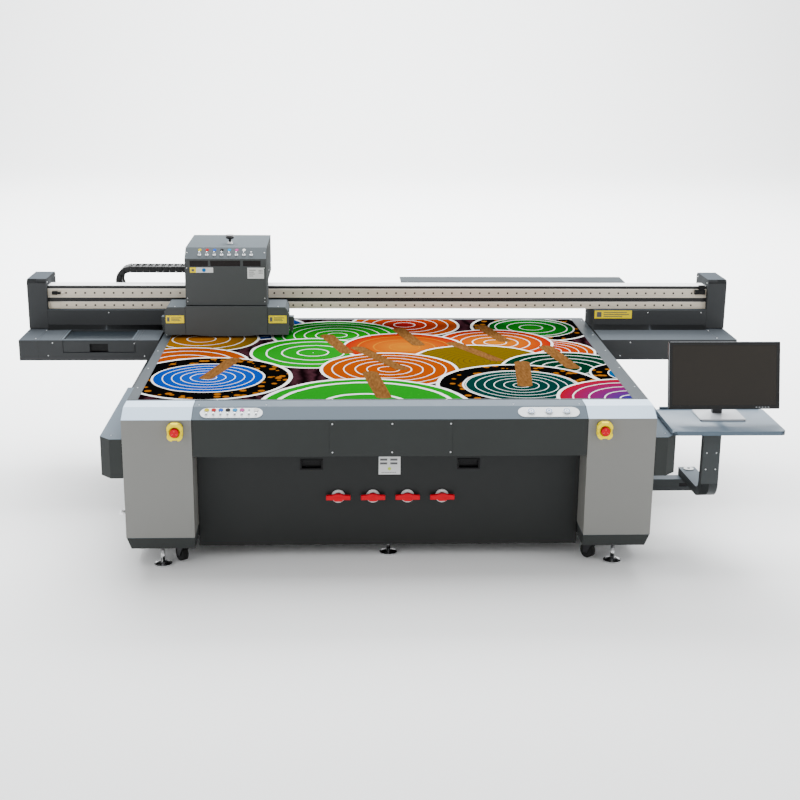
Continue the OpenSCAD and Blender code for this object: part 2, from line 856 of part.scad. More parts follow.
place() base_frame();
place() base_floor();
place() column_left();
place() column_right();
place() column_skirts();
place() front_fascia();
place() fascia_cover();
place() front_panel();
place() panel_pulls();
place() valve_dials();
place() control_plates();
place() estop_guards();
place() vacuum_table();
place() table_edging();
place() print_board();
place() side_housings();
place() base_panels();
place() y_rails();
place() levelling_feet();
place() monitor_bar();
place() valve_handle_1();
place() valve_handle_2();
place() valve_handle_3();
place() valve_handle_4();
place() estop_left();
place() estop_right();
place() ink_toggles();
place() panel_buttons();
place() caster_fork_1();
place() caster_fork_2();
place() caster_fork_3();
place() caster_fork_4();
place() caster_wheel_1();
place() caster_wheel_2();
place() caster_wheel_3();
place() caster_wheel_4();
place() gantry_beam();
place() beam_rails();
place() magnet_track();
place() end_covers();
place() wing_left();
place() wing_right();
place() gantry_legs();
place() chain_trays();
place() chain_lower_run();
place() waste_drawer();
place() chain_bend();
place() chain_upper_run();
place() chain_end();
place() cross_slide();
place() carriage_base();
place() carriage_hood();
place() uv_lamps();
place() print_heads();
place() hood_knob();
place() carriage_toggles();
place() shelf_arm();
place() shelf_top();
place() monitor_stand();
place() monitor();
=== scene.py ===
import json
import math

import bmesh
import bpy
from mathutils import Matrix, Vector

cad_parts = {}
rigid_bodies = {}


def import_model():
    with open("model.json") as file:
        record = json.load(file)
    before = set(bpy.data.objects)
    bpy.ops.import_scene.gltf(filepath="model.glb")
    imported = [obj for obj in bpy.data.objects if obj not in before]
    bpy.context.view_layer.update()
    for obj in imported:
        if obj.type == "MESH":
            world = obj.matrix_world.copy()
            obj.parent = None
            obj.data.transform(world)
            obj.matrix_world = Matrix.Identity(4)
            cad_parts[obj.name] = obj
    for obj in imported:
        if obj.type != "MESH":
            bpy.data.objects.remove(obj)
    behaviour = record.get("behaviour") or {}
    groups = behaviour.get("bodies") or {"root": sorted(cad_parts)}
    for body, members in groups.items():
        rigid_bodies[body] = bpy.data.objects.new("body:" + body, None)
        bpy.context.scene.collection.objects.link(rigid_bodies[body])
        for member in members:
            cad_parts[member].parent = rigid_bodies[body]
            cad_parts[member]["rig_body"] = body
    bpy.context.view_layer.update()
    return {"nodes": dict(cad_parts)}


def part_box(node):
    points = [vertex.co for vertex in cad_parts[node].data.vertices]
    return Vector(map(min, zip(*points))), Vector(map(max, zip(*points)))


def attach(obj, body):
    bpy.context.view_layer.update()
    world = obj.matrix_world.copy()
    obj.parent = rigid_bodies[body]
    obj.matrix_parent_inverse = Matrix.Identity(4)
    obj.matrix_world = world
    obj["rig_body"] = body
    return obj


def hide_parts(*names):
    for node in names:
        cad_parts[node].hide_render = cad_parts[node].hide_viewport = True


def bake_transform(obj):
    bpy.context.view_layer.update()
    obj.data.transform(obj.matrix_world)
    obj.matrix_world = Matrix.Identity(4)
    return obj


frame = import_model()


# ---------------------------------------------------------------- studio
# A pale floor that sweeps up into a pale backdrop, one large soft light
# overhead, two at the sides, one behind for the backdrop, and a raised camera.
yaw, pitch, roll = (math.radians(a) for a in (2.61, 15.72, -0.55))
ahead = Vector((math.sin(yaw) * math.cos(pitch), math.cos(yaw) * math.cos(pitch), -math.sin(pitch)))
level = Vector((math.cos(yaw), -math.sin(yaw), 0))
under = ahead.cross(level)
to_right = math.cos(roll) * level + math.sin(roll) * under
to_top = math.sin(roll) * level - math.cos(roll) * under
camera = bpy.data.objects.new("camera", bpy.data.cameras.new("camera"))
camera.data.lens = 60.47
camera.data.sensor_width = 36
camera.data.clip_end = 100
camera.matrix_world = Matrix((to_right, to_top, -ahead)).transposed().to_4x4()
camera.matrix_world.translation = (-0.2551, -7.6589, 2.7842)
bpy.context.scene.collection.objects.link(camera)
bpy.context.scene.camera = camera

room = bmesh.new()
edge = [room.verts.new((-30, -14, 0)), room.verts.new((-30, 18, 0))]
edge += [room.verts.new((-30, 18 + 6 * math.sin(a), 6 - 6 * math.cos(a)))
         for a in (0.2, 0.4, 0.6, 0.8, 1.0, 1.2, 1.4, math.pi / 2)]
edge.append(room.verts.new((-30, 24, 16)))
rim = [room.edges.new(pair) for pair in zip(edge, edge[1:])]
swept = bmesh.ops.extrude_edge_only(room, edges=rim)["geom"]
bmesh.ops.translate(room, verts=[v for v in swept if isinstance(v, bmesh.types.BMVert)], vec=(60, 0, 0))
bmesh.ops.recalc_face_normals(room, faces=room.faces)
for f in room.faces:
    f.smooth = True
backdrop = bpy.data.objects.new("backdrop", bpy.data.meshes.new("backdrop"))
room.to_mesh(backdrop.data)
room.free()
bpy.context.scene.collection.objects.link(backdrop)
paper = bpy.data.materials.new("paper")
paper.use_nodes = True
paper.node_tree.nodes["Principled BSDF"].inputs["Base Color"].default_value = (0.96, 0.96, 0.96, 1)
paper.node_tree.nodes["Principled BSDF"].inputs["Roughness"].default_value = 0.9
backdrop.data.materials.append(paper)

world = bpy.data.worlds.new("studio")
world.use_nodes = True
world.node_tree.nodes["Background"].inputs["Color"].default_value = (0.99, 1.0, 1.0, 1)
world.node_tree.nodes["Background"].inputs["Strength"].default_value = 0.9
bpy.context.scene.world = world
for name, where, aim, size, power in (
    ("top_light", (0.0, 2.4, 5.6), (0, 0.2, 0.5), 7.0, 1000),
    ("left_light", (-6.5, -6.0, 3.6), (0, 0, 0.6), 3.5, 190),
    ("right_light", (6.5, -5.0, 3.2), (0, 0, 0.6), 3.5, 130),
    ("far_light", (0.0, 11.0, 9.0), (0, 14.0, 0), 14.0, 8500),
):
    lamp = bpy.data.objects.new(name, bpy.data.lights.new(name, "AREA"))
    lamp.data.shape = "SQUARE"
    lamp.data.size = size
    lamp.data.energy = power
    lamp.data.color = (0.97, 0.99, 1.0)
    lamp.matrix_world = Matrix.Translation(where) @ (Vector(aim) - Vector(where)).to_track_quat("-Z",
            "Y").to_matrix().to_4x4()
    bpy.context.scene.collection.objects.link(lamp)


# ---------------------------------------------------------------- front columns
# Folded sheet-steel covers over the front corners of the frame, sprayed
# in a warm satin grey and open at the back and underneath.
def finish_tree(name):
    """A new material, its tree, its shader, and the piece's own coordinates."""
    finish = bpy.data.materials.new(name)
    finish.use_nodes = True
    tree = finish.node_tree
    return finish, tree, tree.nodes["Principled BSDF"], tree.nodes.new("ShaderNodeTexCoord").outputs["Object"]


def noise(tree, at, scale, detail=2.0):
    cloud = tree.nodes.new("ShaderNodeTexNoise")
    cloud.inputs["Scale"].default_value = scale
    cloud.inputs["Detail"].default_value = detail
    tree.links.new(at, cloud.inputs["Vector"])
    return cloud.outputs["Fac"]


def sum_node(tree, operation, *values, clamp=False):
    """A Math node on numbers and sockets."""
    node = tree.nodes.new("ShaderNodeMath")
    node.operation = operation
    node.use_clamp = clamp
    for slot, value in enumerate(values):
        if isinstance(value, (int, float)):
            node.inputs[slot].default_value = value
        else:
            tree.links.new(value, node.inputs[slot])
    return node.outputs["Value"]


def blend_node(tree, share, under, over):
    """Mixes two colours, each a socket or a tuple."""
    node = tree.nodes.new("ShaderNodeMix")
    node.data_type = "RGBA"
    tree.links.new(share, node.inputs["Factor"])
    for socket, value in (("A", under), ("B", over)):
        if isinstance(value, tuple):
            node.inputs[socket].default_value = (*value, 1)
        else:
            tree.links.new(value, node.inputs[socket])
    return node.outputs["Result"]


def mottle(tree, share, colour, below, above):
    """A colour that drifts between a darker and a lighter shade of itself."""
    return blend_node(tree, share, tuple(c * below for c in colour), tuple(min(1, c * above) for c in colour))


def uneven_gloss(tree, shader, share, low, high):
    gloss = tree.nodes.new("ShaderNodeMapRange")
    gloss.inputs["To Min"].default_value = low
    gloss.inputs["To Max"].default_value = high
    tree.links.new(share, gloss.inputs["Value"])
    tree.links.new(gloss.outputs["Result"], shader.inputs["Roughness"])


def fine_grain(tree, shader, share, lift, deep):
    bump = tree.nodes.new("ShaderNodeBump")
    bump.inputs["Strength"].default_value = lift
    bump.inputs["Distance"].default_value = deep
    tree.links.new(share, bump.inputs["Height"])
    tree.links.new(bump.outputs["Normal"], shader.inputs["Normal"])


def enamel(name, colour, rough=0.42, cloud=0.05, sheen=(0.9, 0.96, 1.0), painted_top_light=0.12, gleam=0.22):
    """Sprayed paint: faint clouding, fine orange peel, and painted light: faces that look up are blended
    towards pale blue, a painted reflection of the light overhead.
    """
    paint, tree, shader, at = finish_tree(name)
    shader.inputs["Specular Tint"].default_value = (*sheen, 1)
    shader.inputs["IOR"].default_value = 1.5
    shader.inputs["Specular IOR Level"].default_value = gleam
    shade = mottle(tree, noise(tree, at, 3.1, 3.0), colour, 1 - cloud, 1 + cloud)
    split = tree.nodes.new("ShaderNodeSeparateXYZ")
    tree.links.new(tree.nodes.new("ShaderNodeNewGeometry").outputs["Normal"], split.inputs["Vector"])
    # Painted light: the more a face looks up, the more its colour is blended towards pale blue, a painted
    # highlight from the overhead light.
    painted_top_share = sum_node(tree, "MULTIPLY", split.outputs["Z"], painted_top_light, clamp=True)
    tree.links.new(blend_node(tree, painted_top_share, shade, (0.5, 0.66, 0.84)), shader.inputs["Base Color"])
    peel = noise(tree, at, 420.0, 1.0)
    uneven_gloss(tree, shader, peel, rough - 0.06, rough + 0.08)
    fine_grain(tree, shader, peel, 0.05, 0.001)
    return paint


def folded(node, finish, radius=0.004, steps=2):
    """Takes a cover's shape from the frame, welds it and rounds its folds, as bent sheet has them."""
    shell = bmesh.new()
    shell.from_mesh(frame["nodes"][node].data)
    bmesh.ops.remove_doubles(shell, verts=shell.verts, dist=0.00002)
    bmesh.ops.dissolve_limit(shell, angle_limit=0.02, verts=shell.verts, edges=shell.edges)
    folds = [e for e in shell.edges if len(e.link_faces) == 2
             and e.calc_face_angle(0) > 0.3 and e.calc_length() > radius * 2.2]
    bmesh.ops.bevel(shell, geom=folds, offset=radius, offset_type="OFFSET", affect="EDGES", segments=steps,
                    profile=0.5, material=-1, clamp_overlap=True, harden_normals=False)
    for f in shell.faces:
        f.smooth = True
    piece = bpy.data.objects.new(node + "_cover", bpy.data.meshes.new(node + "_cover"))
    shell.to_mesh(piece.data)
    shell.free()
    bpy.context.scene.collection.objects.link(piece)
    piece.data.materials.append(finish)
    weigh = piece.modifiers.new("even_shading", "WEIGHTED_NORMAL")
    weigh.keep_sharp = False
    weigh.weight = 90
    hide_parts(node)
    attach(piece, frame["nodes"][node]["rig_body"])
    return piece


# Faces that look up get a painted pale-blue highlight, strongest on these column tops.
grey_paint = enamel("column_grey_paint", (0.165, 0.162, 0.15), rough=0.4, painted_top_light=0.95, gleam=0.4)
for side in ("left", "right"):
    folded("column_" + side, grey_paint, 0.0035)


# ---------------------------------------------------------------- skirts, panels and frame
# Darker sheet-steel skirts close the columns below. The welded frame, floor pan,
# side and back panels behind them are sprayed dark as well.
def add_box(shell, low, high):
    """One closed block between two corners."""
    made = bmesh.ops.create_cube(shell, size=1)["verts"]
    bmesh.ops.scale(shell, verts=made, vec=[b - a for a, b in zip(low, high)])
    bmesh.ops.translate(shell, verts=made, vec=[(a + b) / 2 for a, b in zip(low, high)])
    return made


def soften(shell, edges, radius, steps=2):
    bmesh.ops.bevel(shell, geom=list(edges), offset=radius, offset_type="OFFSET", affect="EDGES",
                    segments=steps,
                    profile=0.5, material=-1, clamp_overlap=True)


def settle(shell, name, finish, body, smooth=True):
    """Puts a finished mesh into the scene, on its body."""
    piece = bpy.data.objects.new(name, bpy.data.meshes.new(name))
    for f in shell.faces:
        f.smooth = smooth
    shell.to_mesh(piece.data)
    shell.free()
    for m in finish if isinstance(finish, (list, tuple)) else [finish]:
        piece.data.materials.append(m)
    bpy.context.scene.collection.objects.link(piece)
    if smooth:
        weigh = piece.modifiers.new("even_shading", "WEIGHTED_NORMAL")
        weigh.weight = 90
    if body:
        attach(piece, body)
    return piece


def refinish(node, finish):
    """A frame node that keeps its shape and gets its real finish."""
    for s in frame["nodes"][node].material_slots:
        s.material = finish


# Faces that look up, such as the fascia's slope, get a painted pale-blue highlight.
dark_paint = enamel("dark_grey_paint", (0.036, 0.0385, 0.0375), rough=0.42, cloud=0.06, painted_top_light=0.15,
                    gleam=0.02, sheen=(0.82, 0.92, 1.0))
soot_paint = enamel("frame_black_paint", (0.012, 0.012, 0.013), rough=0.5, cloud=0.15, painted_top_light=0.02, gleam=0.1)
folded("column_skirts", dark_paint, 0.004)
folded("base_panels", dark_paint, 0.001)
for node in ("base_frame", "base_floor", "gantry_legs"):
    refinish(node, soot_paint)


# ---------------------------------------------------------------- fascia and its cover
# The sloped fascia is folded from one long sheet. A flat cover in its middle
# hides the wiring and is held by six small white screws.
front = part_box("column_left")[0].y
top_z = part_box("table_edging")[1].z
folded("front_fascia", dark_paint, 0.005)
folded("fascia_cover", dark_paint, 0.0008, 1)


def scaled(tree, at, scale):
    """Coordinates drawn out along the axes, for streaks and wood grain."""
    turn = tree.nodes.new("ShaderNodeMapping")
    turn.inputs["Scale"].default_value = scale
    tree.links.new(at, turn.inputs["Vector"])
    return turn.outputs["Vector"]


def steel(name, colour, rough=0.3, streak=(1, 1, 60)):
    """Bare or plated metal with fine directional polish marks."""
    metal, tree, shader, at = finish_tree(name)
    shader.inputs["Metallic"].default_value = 1.0
    marks = noise(tree, scaled(tree, at, streak), 30.0, 4.0)
    tree.links.new(mottle(tree, marks, colour, 0.86, 1.08), shader.inputs["Base Color"])
    uneven_gloss(tree, shader, marks, max(0.04, rough - 0.1), rough + 0.12)
    return metal


def moulded(name, colour, rough=0.35, lift=0.03, coat=0.0, gleam=0.3):
    """Moulded or printed plastic: a faint grain and slight unevenness in gloss and shade."""
    plastic, tree, shader, at = finish_tree(name)
    shader.inputs["Specular IOR Level"].default_value = gleam
    shader.inputs["Coat Weight"].default_value = coat * 0.4
    shader.inputs["Coat Roughness"].default_value = 0.08
    patch = noise(tree, at, 18.0)
    tree.links.new(mottle(tree, patch, colour, 0.93, 1.06), shader.inputs["Base Color"])
    uneven_gloss(tree, shader, patch, max(0.04, rough - 0.05), rough + 0.07)
    fine_grain(tree, shader, noise(tree, at, 700.0), lift, 0.0005)
    return plastic


def facing(spot, normal):
    """A placement at spot whose +Z looks along normal, with +X kept level."""
    z = Vector(normal).normalized()
    x = Vector((0, 1, 0)).cross(z) if abs(z.y) < 0.99 else Vector((1, 0, 0))
    x.normalize()
    return Matrix.Translation(spot) @ Matrix((x, z.cross(x), z)).transposed().to_4x4()


def dowel(shell, spot, normal, wide, narrow, depth, sides=20):
    """A round or tapered stub, centred on spot, that looks along normal."""
    bmesh.ops.create_cone(shell, cap_ends=True, segments=sides, radius1=wide, radius2=narrow, depth=depth,
                          matrix=facing(spot, normal))


def screws(name, spots, body, finish, radius=0.006, tall=0.003):
    """Button-head socket screws in one mesh: a domed head with a hexagonal socket."""
    shell = bmesh.new()
    for spot, normal in spots:
        place = facing(spot, normal)
        head = bmesh.ops.create_cone(shell, cap_ends=True, segments=16, radius1=radius,
                                     radius2=radius * 0.62, depth=tall,
                                     matrix=place @ Matrix.Translation((0, 0, tall / 2)))["verts"]
        crown = [f for f in {f for v in head for f in v.link_faces}
                 if f.normal.dot(Vector(normal)) > 0.9 and len(f.verts) == 16]
        bmesh.ops.inset_region(shell, faces=crown, thickness=radius * 0.2)
        bmesh.ops.translate(shell, verts=list({v for f in crown for v in f.verts}),
                            vec=-Vector(normal).normalized() * tall * 0.6)
    return settle(shell, name, finish, body, smooth=False)


white_zinc = steel("white_zinc", (0.86, 0.87, 0.88), rough=0.28)
cover_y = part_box("fascia_cover")[0].y
screws("cover_screws", [((x, cover_y, z), (0, -1, 0)) for x in (-0.3, 0.006, 0.306)
                        for z in (0.659, 0.811)], "base", white_zinc, 0.0048, 0.0024)
screws("fascia_top_screws", [((x, front + 0.128, top_z), (0, 0, 1)) for x in (-0.985, -0.64, 0.64, 0.985)],
       "base", white_zinc, 0.0035, 0.0018)


# ---------------------------------------------------------------- lower front panel
# A flat removable panel set back under the fascia, with two moulded finger
# cups and a printed plate that shows which valve feeds which table zone.
panel_paint = enamel("panel_paint", (0.0135, 0.0135, 0.0125), rough=0.4, cloud=0.08, painted_top_light=0.0)
cup_black = moulded("cup_black", (0.004, 0.004, 0.0045), rough=0.4, gleam=0.15)
folded("front_panel", panel_paint, 0.001, 1)
folded("panel_pulls", cup_black, 0.002)
panel_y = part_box("front_panel")[0].y
shell = bmesh.new()
for x in (-0.412, 0.42):
    rim_faces = add_box(shell, (x - 0.06, panel_y - 0.005, 0.502), (x + 0.06, panel_y - 0.0005, 0.562))
    hole = [f for f in {f for v in rim_faces for f in v.link_faces} if abs(f.normal.y) > 0.9]
    bmesh.ops.inset_individual(shell, faces=hole, thickness=0.009)
    bmesh.ops.bridge_loops(shell, edges=[e for f in hole for e in f.edges])
    bmesh.ops.delete(shell, geom=hole, context="FACES_ONLY")
soften(shell, shell.edges, 0.0012)
settle(shell, "cup_rims", cup_black, "base")
shell = bmesh.new()
for x in (-0.412, 0.42):
    add_box(shell, (x - 0.048, panel_y + 0.001, 0.54), (x + 0.048, panel_y + 0.012, 0.5535))
soften(shell, shell.edges, 0.003)
settle(shell, "cup_lips", cup_black, "base")

sign_white = moulded("sign_white", (0.66, 0.67, 0.66), rough=0.4)
sign_grey = moulded("sign_grey", (0.1, 0.1, 0.105), rough=0.5)
sign_lime = moulded("sign_lime", (0.5, 0.62, 0.08), rough=0.5)
shell = bmesh.new()
add_box(shell, (-0.057, panel_y - 0.0016, 0.474), (0.058, panel_y - 0.0002, 0.573))
settle(shell, "zone_plate", sign_white, "base", smooth=False)
shell = bmesh.new()
for x in (-0.05, 0.004):
    for z in (0.551, 0.53):
        add_box(shell, (x, panel_y - 0.0022, z), (x + 0.038, panel_y - 0.0014, z + 0.011))
for k in range(9):
    add_box(shell, (-0.042 + k * 0.0088, panel_y - 0.0022, 0.483),
            (-0.036 + k * 0.0088, panel_y - 0.0014, 0.487))
settle(shell, "zone_marks", sign_grey, "base", smooth=False)
shell = bmesh.new()
dowel(shell, (0.0, panel_y - 0.0018, 0.506), (0, -1, 0), 0.009, 0.009, 0.001, 20)
settle(shell, "zone_spot", sign_lime, "base", smooth=False)


# ---------------------------------------------------------------- valves
# Four quarter-turn ball valves: a white moulded dial ring on the panel and
# a red dipped bar handle on a hub.
dial_white = moulded("dial_white", (0.6, 0.6, 0.59), rough=0.3, coat=0.3)
handle_red = moulded("handle_red", (0.55, 0.001, 0.014), rough=0.45, gleam=0.06)
folded("valve_dials", dial_white, 0.0012)
for k in range(1, 5):
    node = f"valve_handle_{k}"
    folded(node, handle_red, 0.0035, 3)
shell = bmesh.new()
for k in range(1, 5):
    low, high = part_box(f"valve_handle_{k}")
    middle = (low + high) / 2
    dowel(shell, (middle.x, panel_y - 0.001, middle.z), (0, -1, 0), 0.0214, 0.0214, 0.0016, 36)
    bmesh.ops.create_cone(shell, cap_ends=False, segments=36, radius1=0.0335, radius2=0.0335, depth=0.0006,
                          matrix=facing((middle.x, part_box("valve_dials")[0].y - 0.0002, middle.z),
                          (0, -1, 0)))
settle(shell, "dial_wells", cup_black, "base", smooth=False)


# ---------------------------------------------------------------- emergency stops
# A yellow moulded guard ring with finger gaps, fixed to each column,
# around a red mushroom push button.
guard_yellow = moulded("guard_yellow", (0.95, 0.75, 0.0), rough=0.45, gleam=0.0)
button_red = moulded("button_red", (0.55, 0.001, 0.012), rough=0.4, gleam=0.06)
mark_red = moulded("mark_red", (0.65, 0.12, 0.1), rough=0.35, gleam=0.1)
folded("estop_guards", guard_yellow, 0.0025, 3)
for side in ("left", "right"):
    low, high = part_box("estop_" + side)
    stop = folded("estop_" + side, button_red, 0.005, 4)
    for v in stop.data.vertices:
        v.co.y += 0.0095 if v.co.y < low.y + 0.026 else 0.0
    low.y += 0.0095
    shell = bmesh.new()
    for turn in range(3):
        a = turn * 2 * math.pi / 3
        mark = bmesh.ops.create_cube(shell, size=1)["verts"]
        bmesh.ops.scale(shell, verts=mark, vec=(0.011, 0.0006, 0.0026))
        bmesh.ops.rotate(shell, verts=mark, cent=(0, 0, 0), matrix=Matrix.Rotation(a + math.pi / 2, 3, "Y"))
        bmesh.ops.translate(shell, verts=mark,
                            vec=((low.x + high.x) / 2 + 0.012 * math.sin(a), low.y - 0.0002,
                            (low.z + high.z) / 2 + 0.012 * math.cos(a)))
    settle(shell, "stop_marks_" + side, mark_red, "estop_" + side, smooth=False)


# ---------------------------------------------------------------- control plates
# Two white stadium-shaped plates on the fascia's slope: ink toggles with a
# coloured spot each on the left, three membrane-style push buttons on the right.
slope = math.atan2(0.043, 0.096)
normal = Vector((0, -math.sin(slope), math.cos(slope)))
upslope = Vector((0, math.cos(slope), math.sin(slope)))
left_mid = Vector((-0.814, front + 0.048, 0.8555))
right_mid = Vector((0.814, front + 0.048, 0.8555))
plate_gloss = moulded("plate_gloss", (0.72, 0.75, 0.77), rough=0.3, coat=0.2)
folded("control_plates", plate_gloss, 0.0007, 1)
toggle_chrome = steel("toggle_chrome", (0.9, 0.9, 0.91), rough=0.12, streak=(1, 1, 1))
stalks = folded("ink_toggles", toggle_chrome, 0.0006, 1)
for v in stalks.data.vertices:
    v.co -= normal * max(0.0, (v.co - left_mid).dot(normal) - 0.006) * 0.5
inks = {"yellow": (0.4, 0.33, 0.0), "red": (0.3, 0.002, 0.002), "blue": (0.0, 0.06, 0.36),
        "black": (0.004, 0.004, 0.004),
        "cyan": (0.0, 0.17, 0.36), "pink": (0.36, 0.05, 0.2), "pale": (0.3, 0.31, 0.32), "white": (0.6, 0.6,
                0.58)}
ink_finish = {k: moulded("ink_" + k, c, rough=0.5, gleam=0.05) for k, c in inks.items()}
shell = bmesh.new()
for k in range(8):
    centre = left_mid + Vector(((k - 3.5) * 0.036, 0, 0)) + upslope * 0.02 + normal * 0.0057
    known = set(shell.faces)
    dowel(shell, centre, normal, 0.013 if k != 6 else 0.005, 0.0125 if k != 6 else 0.0045, 0.0012, 24)
    for f in shell.faces:
        if f not in known:
            f.material_index = k
settle(shell, "ink_spots", list(ink_finish.values()), "base", smooth=False)
shell = bmesh.new()
for k in range(8):
    nut = left_mid + Vector(((k - 3.5) * 0.036, 0, 0)) - upslope * 0.014 + normal * 0.0066
    dowel(shell, nut, normal, 0.0058, 0.005, 0.0018, 20)
settle(shell, "toggle_collars", sign_grey, "base", smooth=False)
folded("panel_buttons", moulded("key_white", (0.78, 0.82, 0.86), rough=0.3, coat=0.3), 0.0012, 2)
icon_blue = moulded("icon_blue", (0.0, 0.13, 0.4), rough=0.45)
shell = bmesh.new()
for k in (-1, 0, 1):
    place = facing(right_mid + Vector((k * 0.092, 0, 0)) + normal * 0.0122, normal)
    ring = bmesh.ops.create_circle(shell, cap_ends=False, segments=32, radius=0.0125, matrix=place)["verts"]
    rim = list({e for v in ring for e in v.link_edges})
    wider = bmesh.ops.extrude_edge_only(shell, edges=rim)["geom"]
    outer = [v for v in wider if isinstance(v, bmesh.types.BMVert)]
    back = place.inverted()
    bmesh.ops.transform(shell, verts=outer, matrix=Matrix.Diagonal((1.3, 1.3, 1, 1)), space=back)
    if k == 0:
        bmesh.ops.create_cone(shell, cap_ends=True, segments=3, radius1=0.0075, radius2=0.0075,
                              depth=0.0006, matrix=place)
    else:
        stem = bmesh.ops.create_cube(shell, size=1)["verts"]
        bmesh.ops.scale(shell, verts=stem, vec=(0.003, 0.013, 0.0006))
        bmesh.ops.transform(shell, verts=stem, matrix=place)
settle(shell, "button_icons", icon_blue, "panel_buttons", smooth=False)


# ---------------------------------------------------------------- table
# Aluminium edge strips and aprons around a black vacuum table, fixed by
# small flush screws.
table_alu = enamel("table_alu", (0.036, 0.039, 0.041), rough=0.36, cloud=0.05, painted_top_light=0.03, gleam=0.02)
folded("table_edging", table_alu, 0.0006, 1)
refinish("vacuum_table", soot_paint)
low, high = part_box("table_edging")
screws("table_screws", [((x, low.y + 0.006, high.z), (0, 0, 1)) for x in (-0.9, -0.3, 0.3, 0.9)]
       + [((s * (high.x - 0.02), low.y + 0.25 + 0.42 * k, high.z), (0, 0, 1)) for s in (-1, 1)
          for k in range(5)],
       "base", steel("flush_screw", (0.5, 0.52, 0.54), rough=0.3), 0.004, 0.0012)


# ---------------------------------------------------------------- printed board
# The board on the bed carries a matt print of overlapping ringed discs on a
# dark woven ground, and of wooden pegs, flat on the board. One ringed disc is a node group
# that is reused for every disc, laid over the ones before it.
disc = bpy.data.node_groups.new("ringed_disc", "ShaderNodeTree")
for name, kind in (("Under", "NodeSocketColor"), ("Place", "NodeSocketVector"),
                   ("Centre", "NodeSocketVector"), ("Radius", "NodeSocketFloat"),
                   ("Inner", "NodeSocketColor"), ("Outer", "NodeSocketColor"), ("Rings", "NodeSocketFloat"),
                   ("Ring Colour", "NodeSocketColor"),
                   ("Collar", "NodeSocketFloat"), ("Wobble", "NodeSocketFloat")):
    disc.interface.new_socket(name, in_out="INPUT", socket_type=kind)
disc.interface.new_socket("Result", in_out="OUTPUT", socket_type="NodeSocketColor")
entry = disc.nodes.new("NodeGroupInput")
leave = disc.nodes.new("NodeGroupOutput")

apart = disc.nodes.new("ShaderNodeVectorMath")
apart.operation = "DISTANCE"
disc.links.new(entry.outputs["Place"], apart.inputs[0])
disc.links.new(entry.outputs["Centre"], apart.inputs[1])
reach = sum_node(disc, "DIVIDE", apart.outputs["Value"], entry.outputs["Radius"])
ripple = sum_node(disc, "SUBTRACT", noise(disc, entry.outputs["Place"], 5.0), 0.5)
reach = sum_node(disc, "ADD", reach, sum_node(disc, "MULTIPLY", ripple, entry.outputs["Wobble"]))
inside = sum_node(disc, "LESS_THAN", reach, 1.0)
field = sum_node(disc, "LESS_THAN", reach, entry.outputs["Collar"])
tone = blend_node(disc, sum_node(disc, "MULTIPLY", reach, 1.0, clamp=True), entry.outputs["Inner"],
                  entry.outputs["Outer"])
step = sum_node(disc, "FRACT", sum_node(disc, "MULTIPLY", sum_node(disc, "ADD", reach, 0.02),
                                        entry.outputs["Rings"]))
line = sum_node(disc, "LESS_THAN", step, 0.1)
ringed = blend_node(disc, line, tone, entry.outputs["Ring Colour"])
cells = disc.nodes.new("ShaderNodeTexVoronoi")
cells.inputs["Scale"].default_value = 17.0
disc.links.new(entry.outputs["Place"], cells.inputs["Vector"])
spots = sum_node(disc, "LESS_THAN", cells.outputs["Distance"], 0.33)
collar = blend_node(disc, spots, (0.001, 0.001, 0.001), (0.16, 0.05, 0.003))
body = blend_node(disc, field, collar, ringed)
edge_line = sum_node(disc, "COMPARE", reach, entry.outputs["Collar"], 0.012)
body = blend_node(disc, edge_line, body, (0.5, 0.5, 0.49))
rim = sum_node(disc, "GREATER_THAN", reach, 0.955)
body = blend_node(disc, rim, body, (0.55, 0.55, 0.54))
disc.links.new(blend_node(disc, inside, entry.outputs["Under"], body), leave.inputs["Result"])

ink, tree, shader, at = finish_tree("print_ink")
shader.inputs["Roughness"].default_value = 0.45
shader.inputs["Specular IOR Level"].default_value = 0.0
flat = tree.nodes.new("ShaderNodeVectorMath")
flat.operation = "MULTIPLY"
flat.inputs[1].default_value = (1, 1, 0)
tree.links.new(at, flat.inputs[0])
weave = noise(tree, flat.outputs["Vector"], 60.0, 6.0)
folds = tree.nodes.new("ShaderNodeTexWave")
folds.inputs["Scale"].default_value = 4.0
folds.inputs["Distortion"].default_value = 9.0
tree.links.new(flat.outputs["Vector"], folds.inputs["Vector"])
cloth = blend_node(tree, sum_node(tree, "MULTIPLY", weave, folds.outputs["Fac"]), (0.002, 0.0006, 0.001),
                   (0.04, 0.012, 0.018))
white_line = (0.5, 0.5, 0.49)
black_line = (0.02, 0.02, 0.01)
blue, sky, green, orange, teal, forest, red, amber, olive, cyan = (
    (0.0, 0.012, 0.12), (0.0, 0.035, 0.22), (0.0, 0.12, 0.004), (0.17, 0.025, 0.0), (0.0, 0.016, 0.013),
    (0.0, 0.012, 0.005), (0.18, 0.0, 0.001), (0.26, 0.08, 0.0), (0.075, 0.045, 0.0), (0.0, 0.07, 0.11))
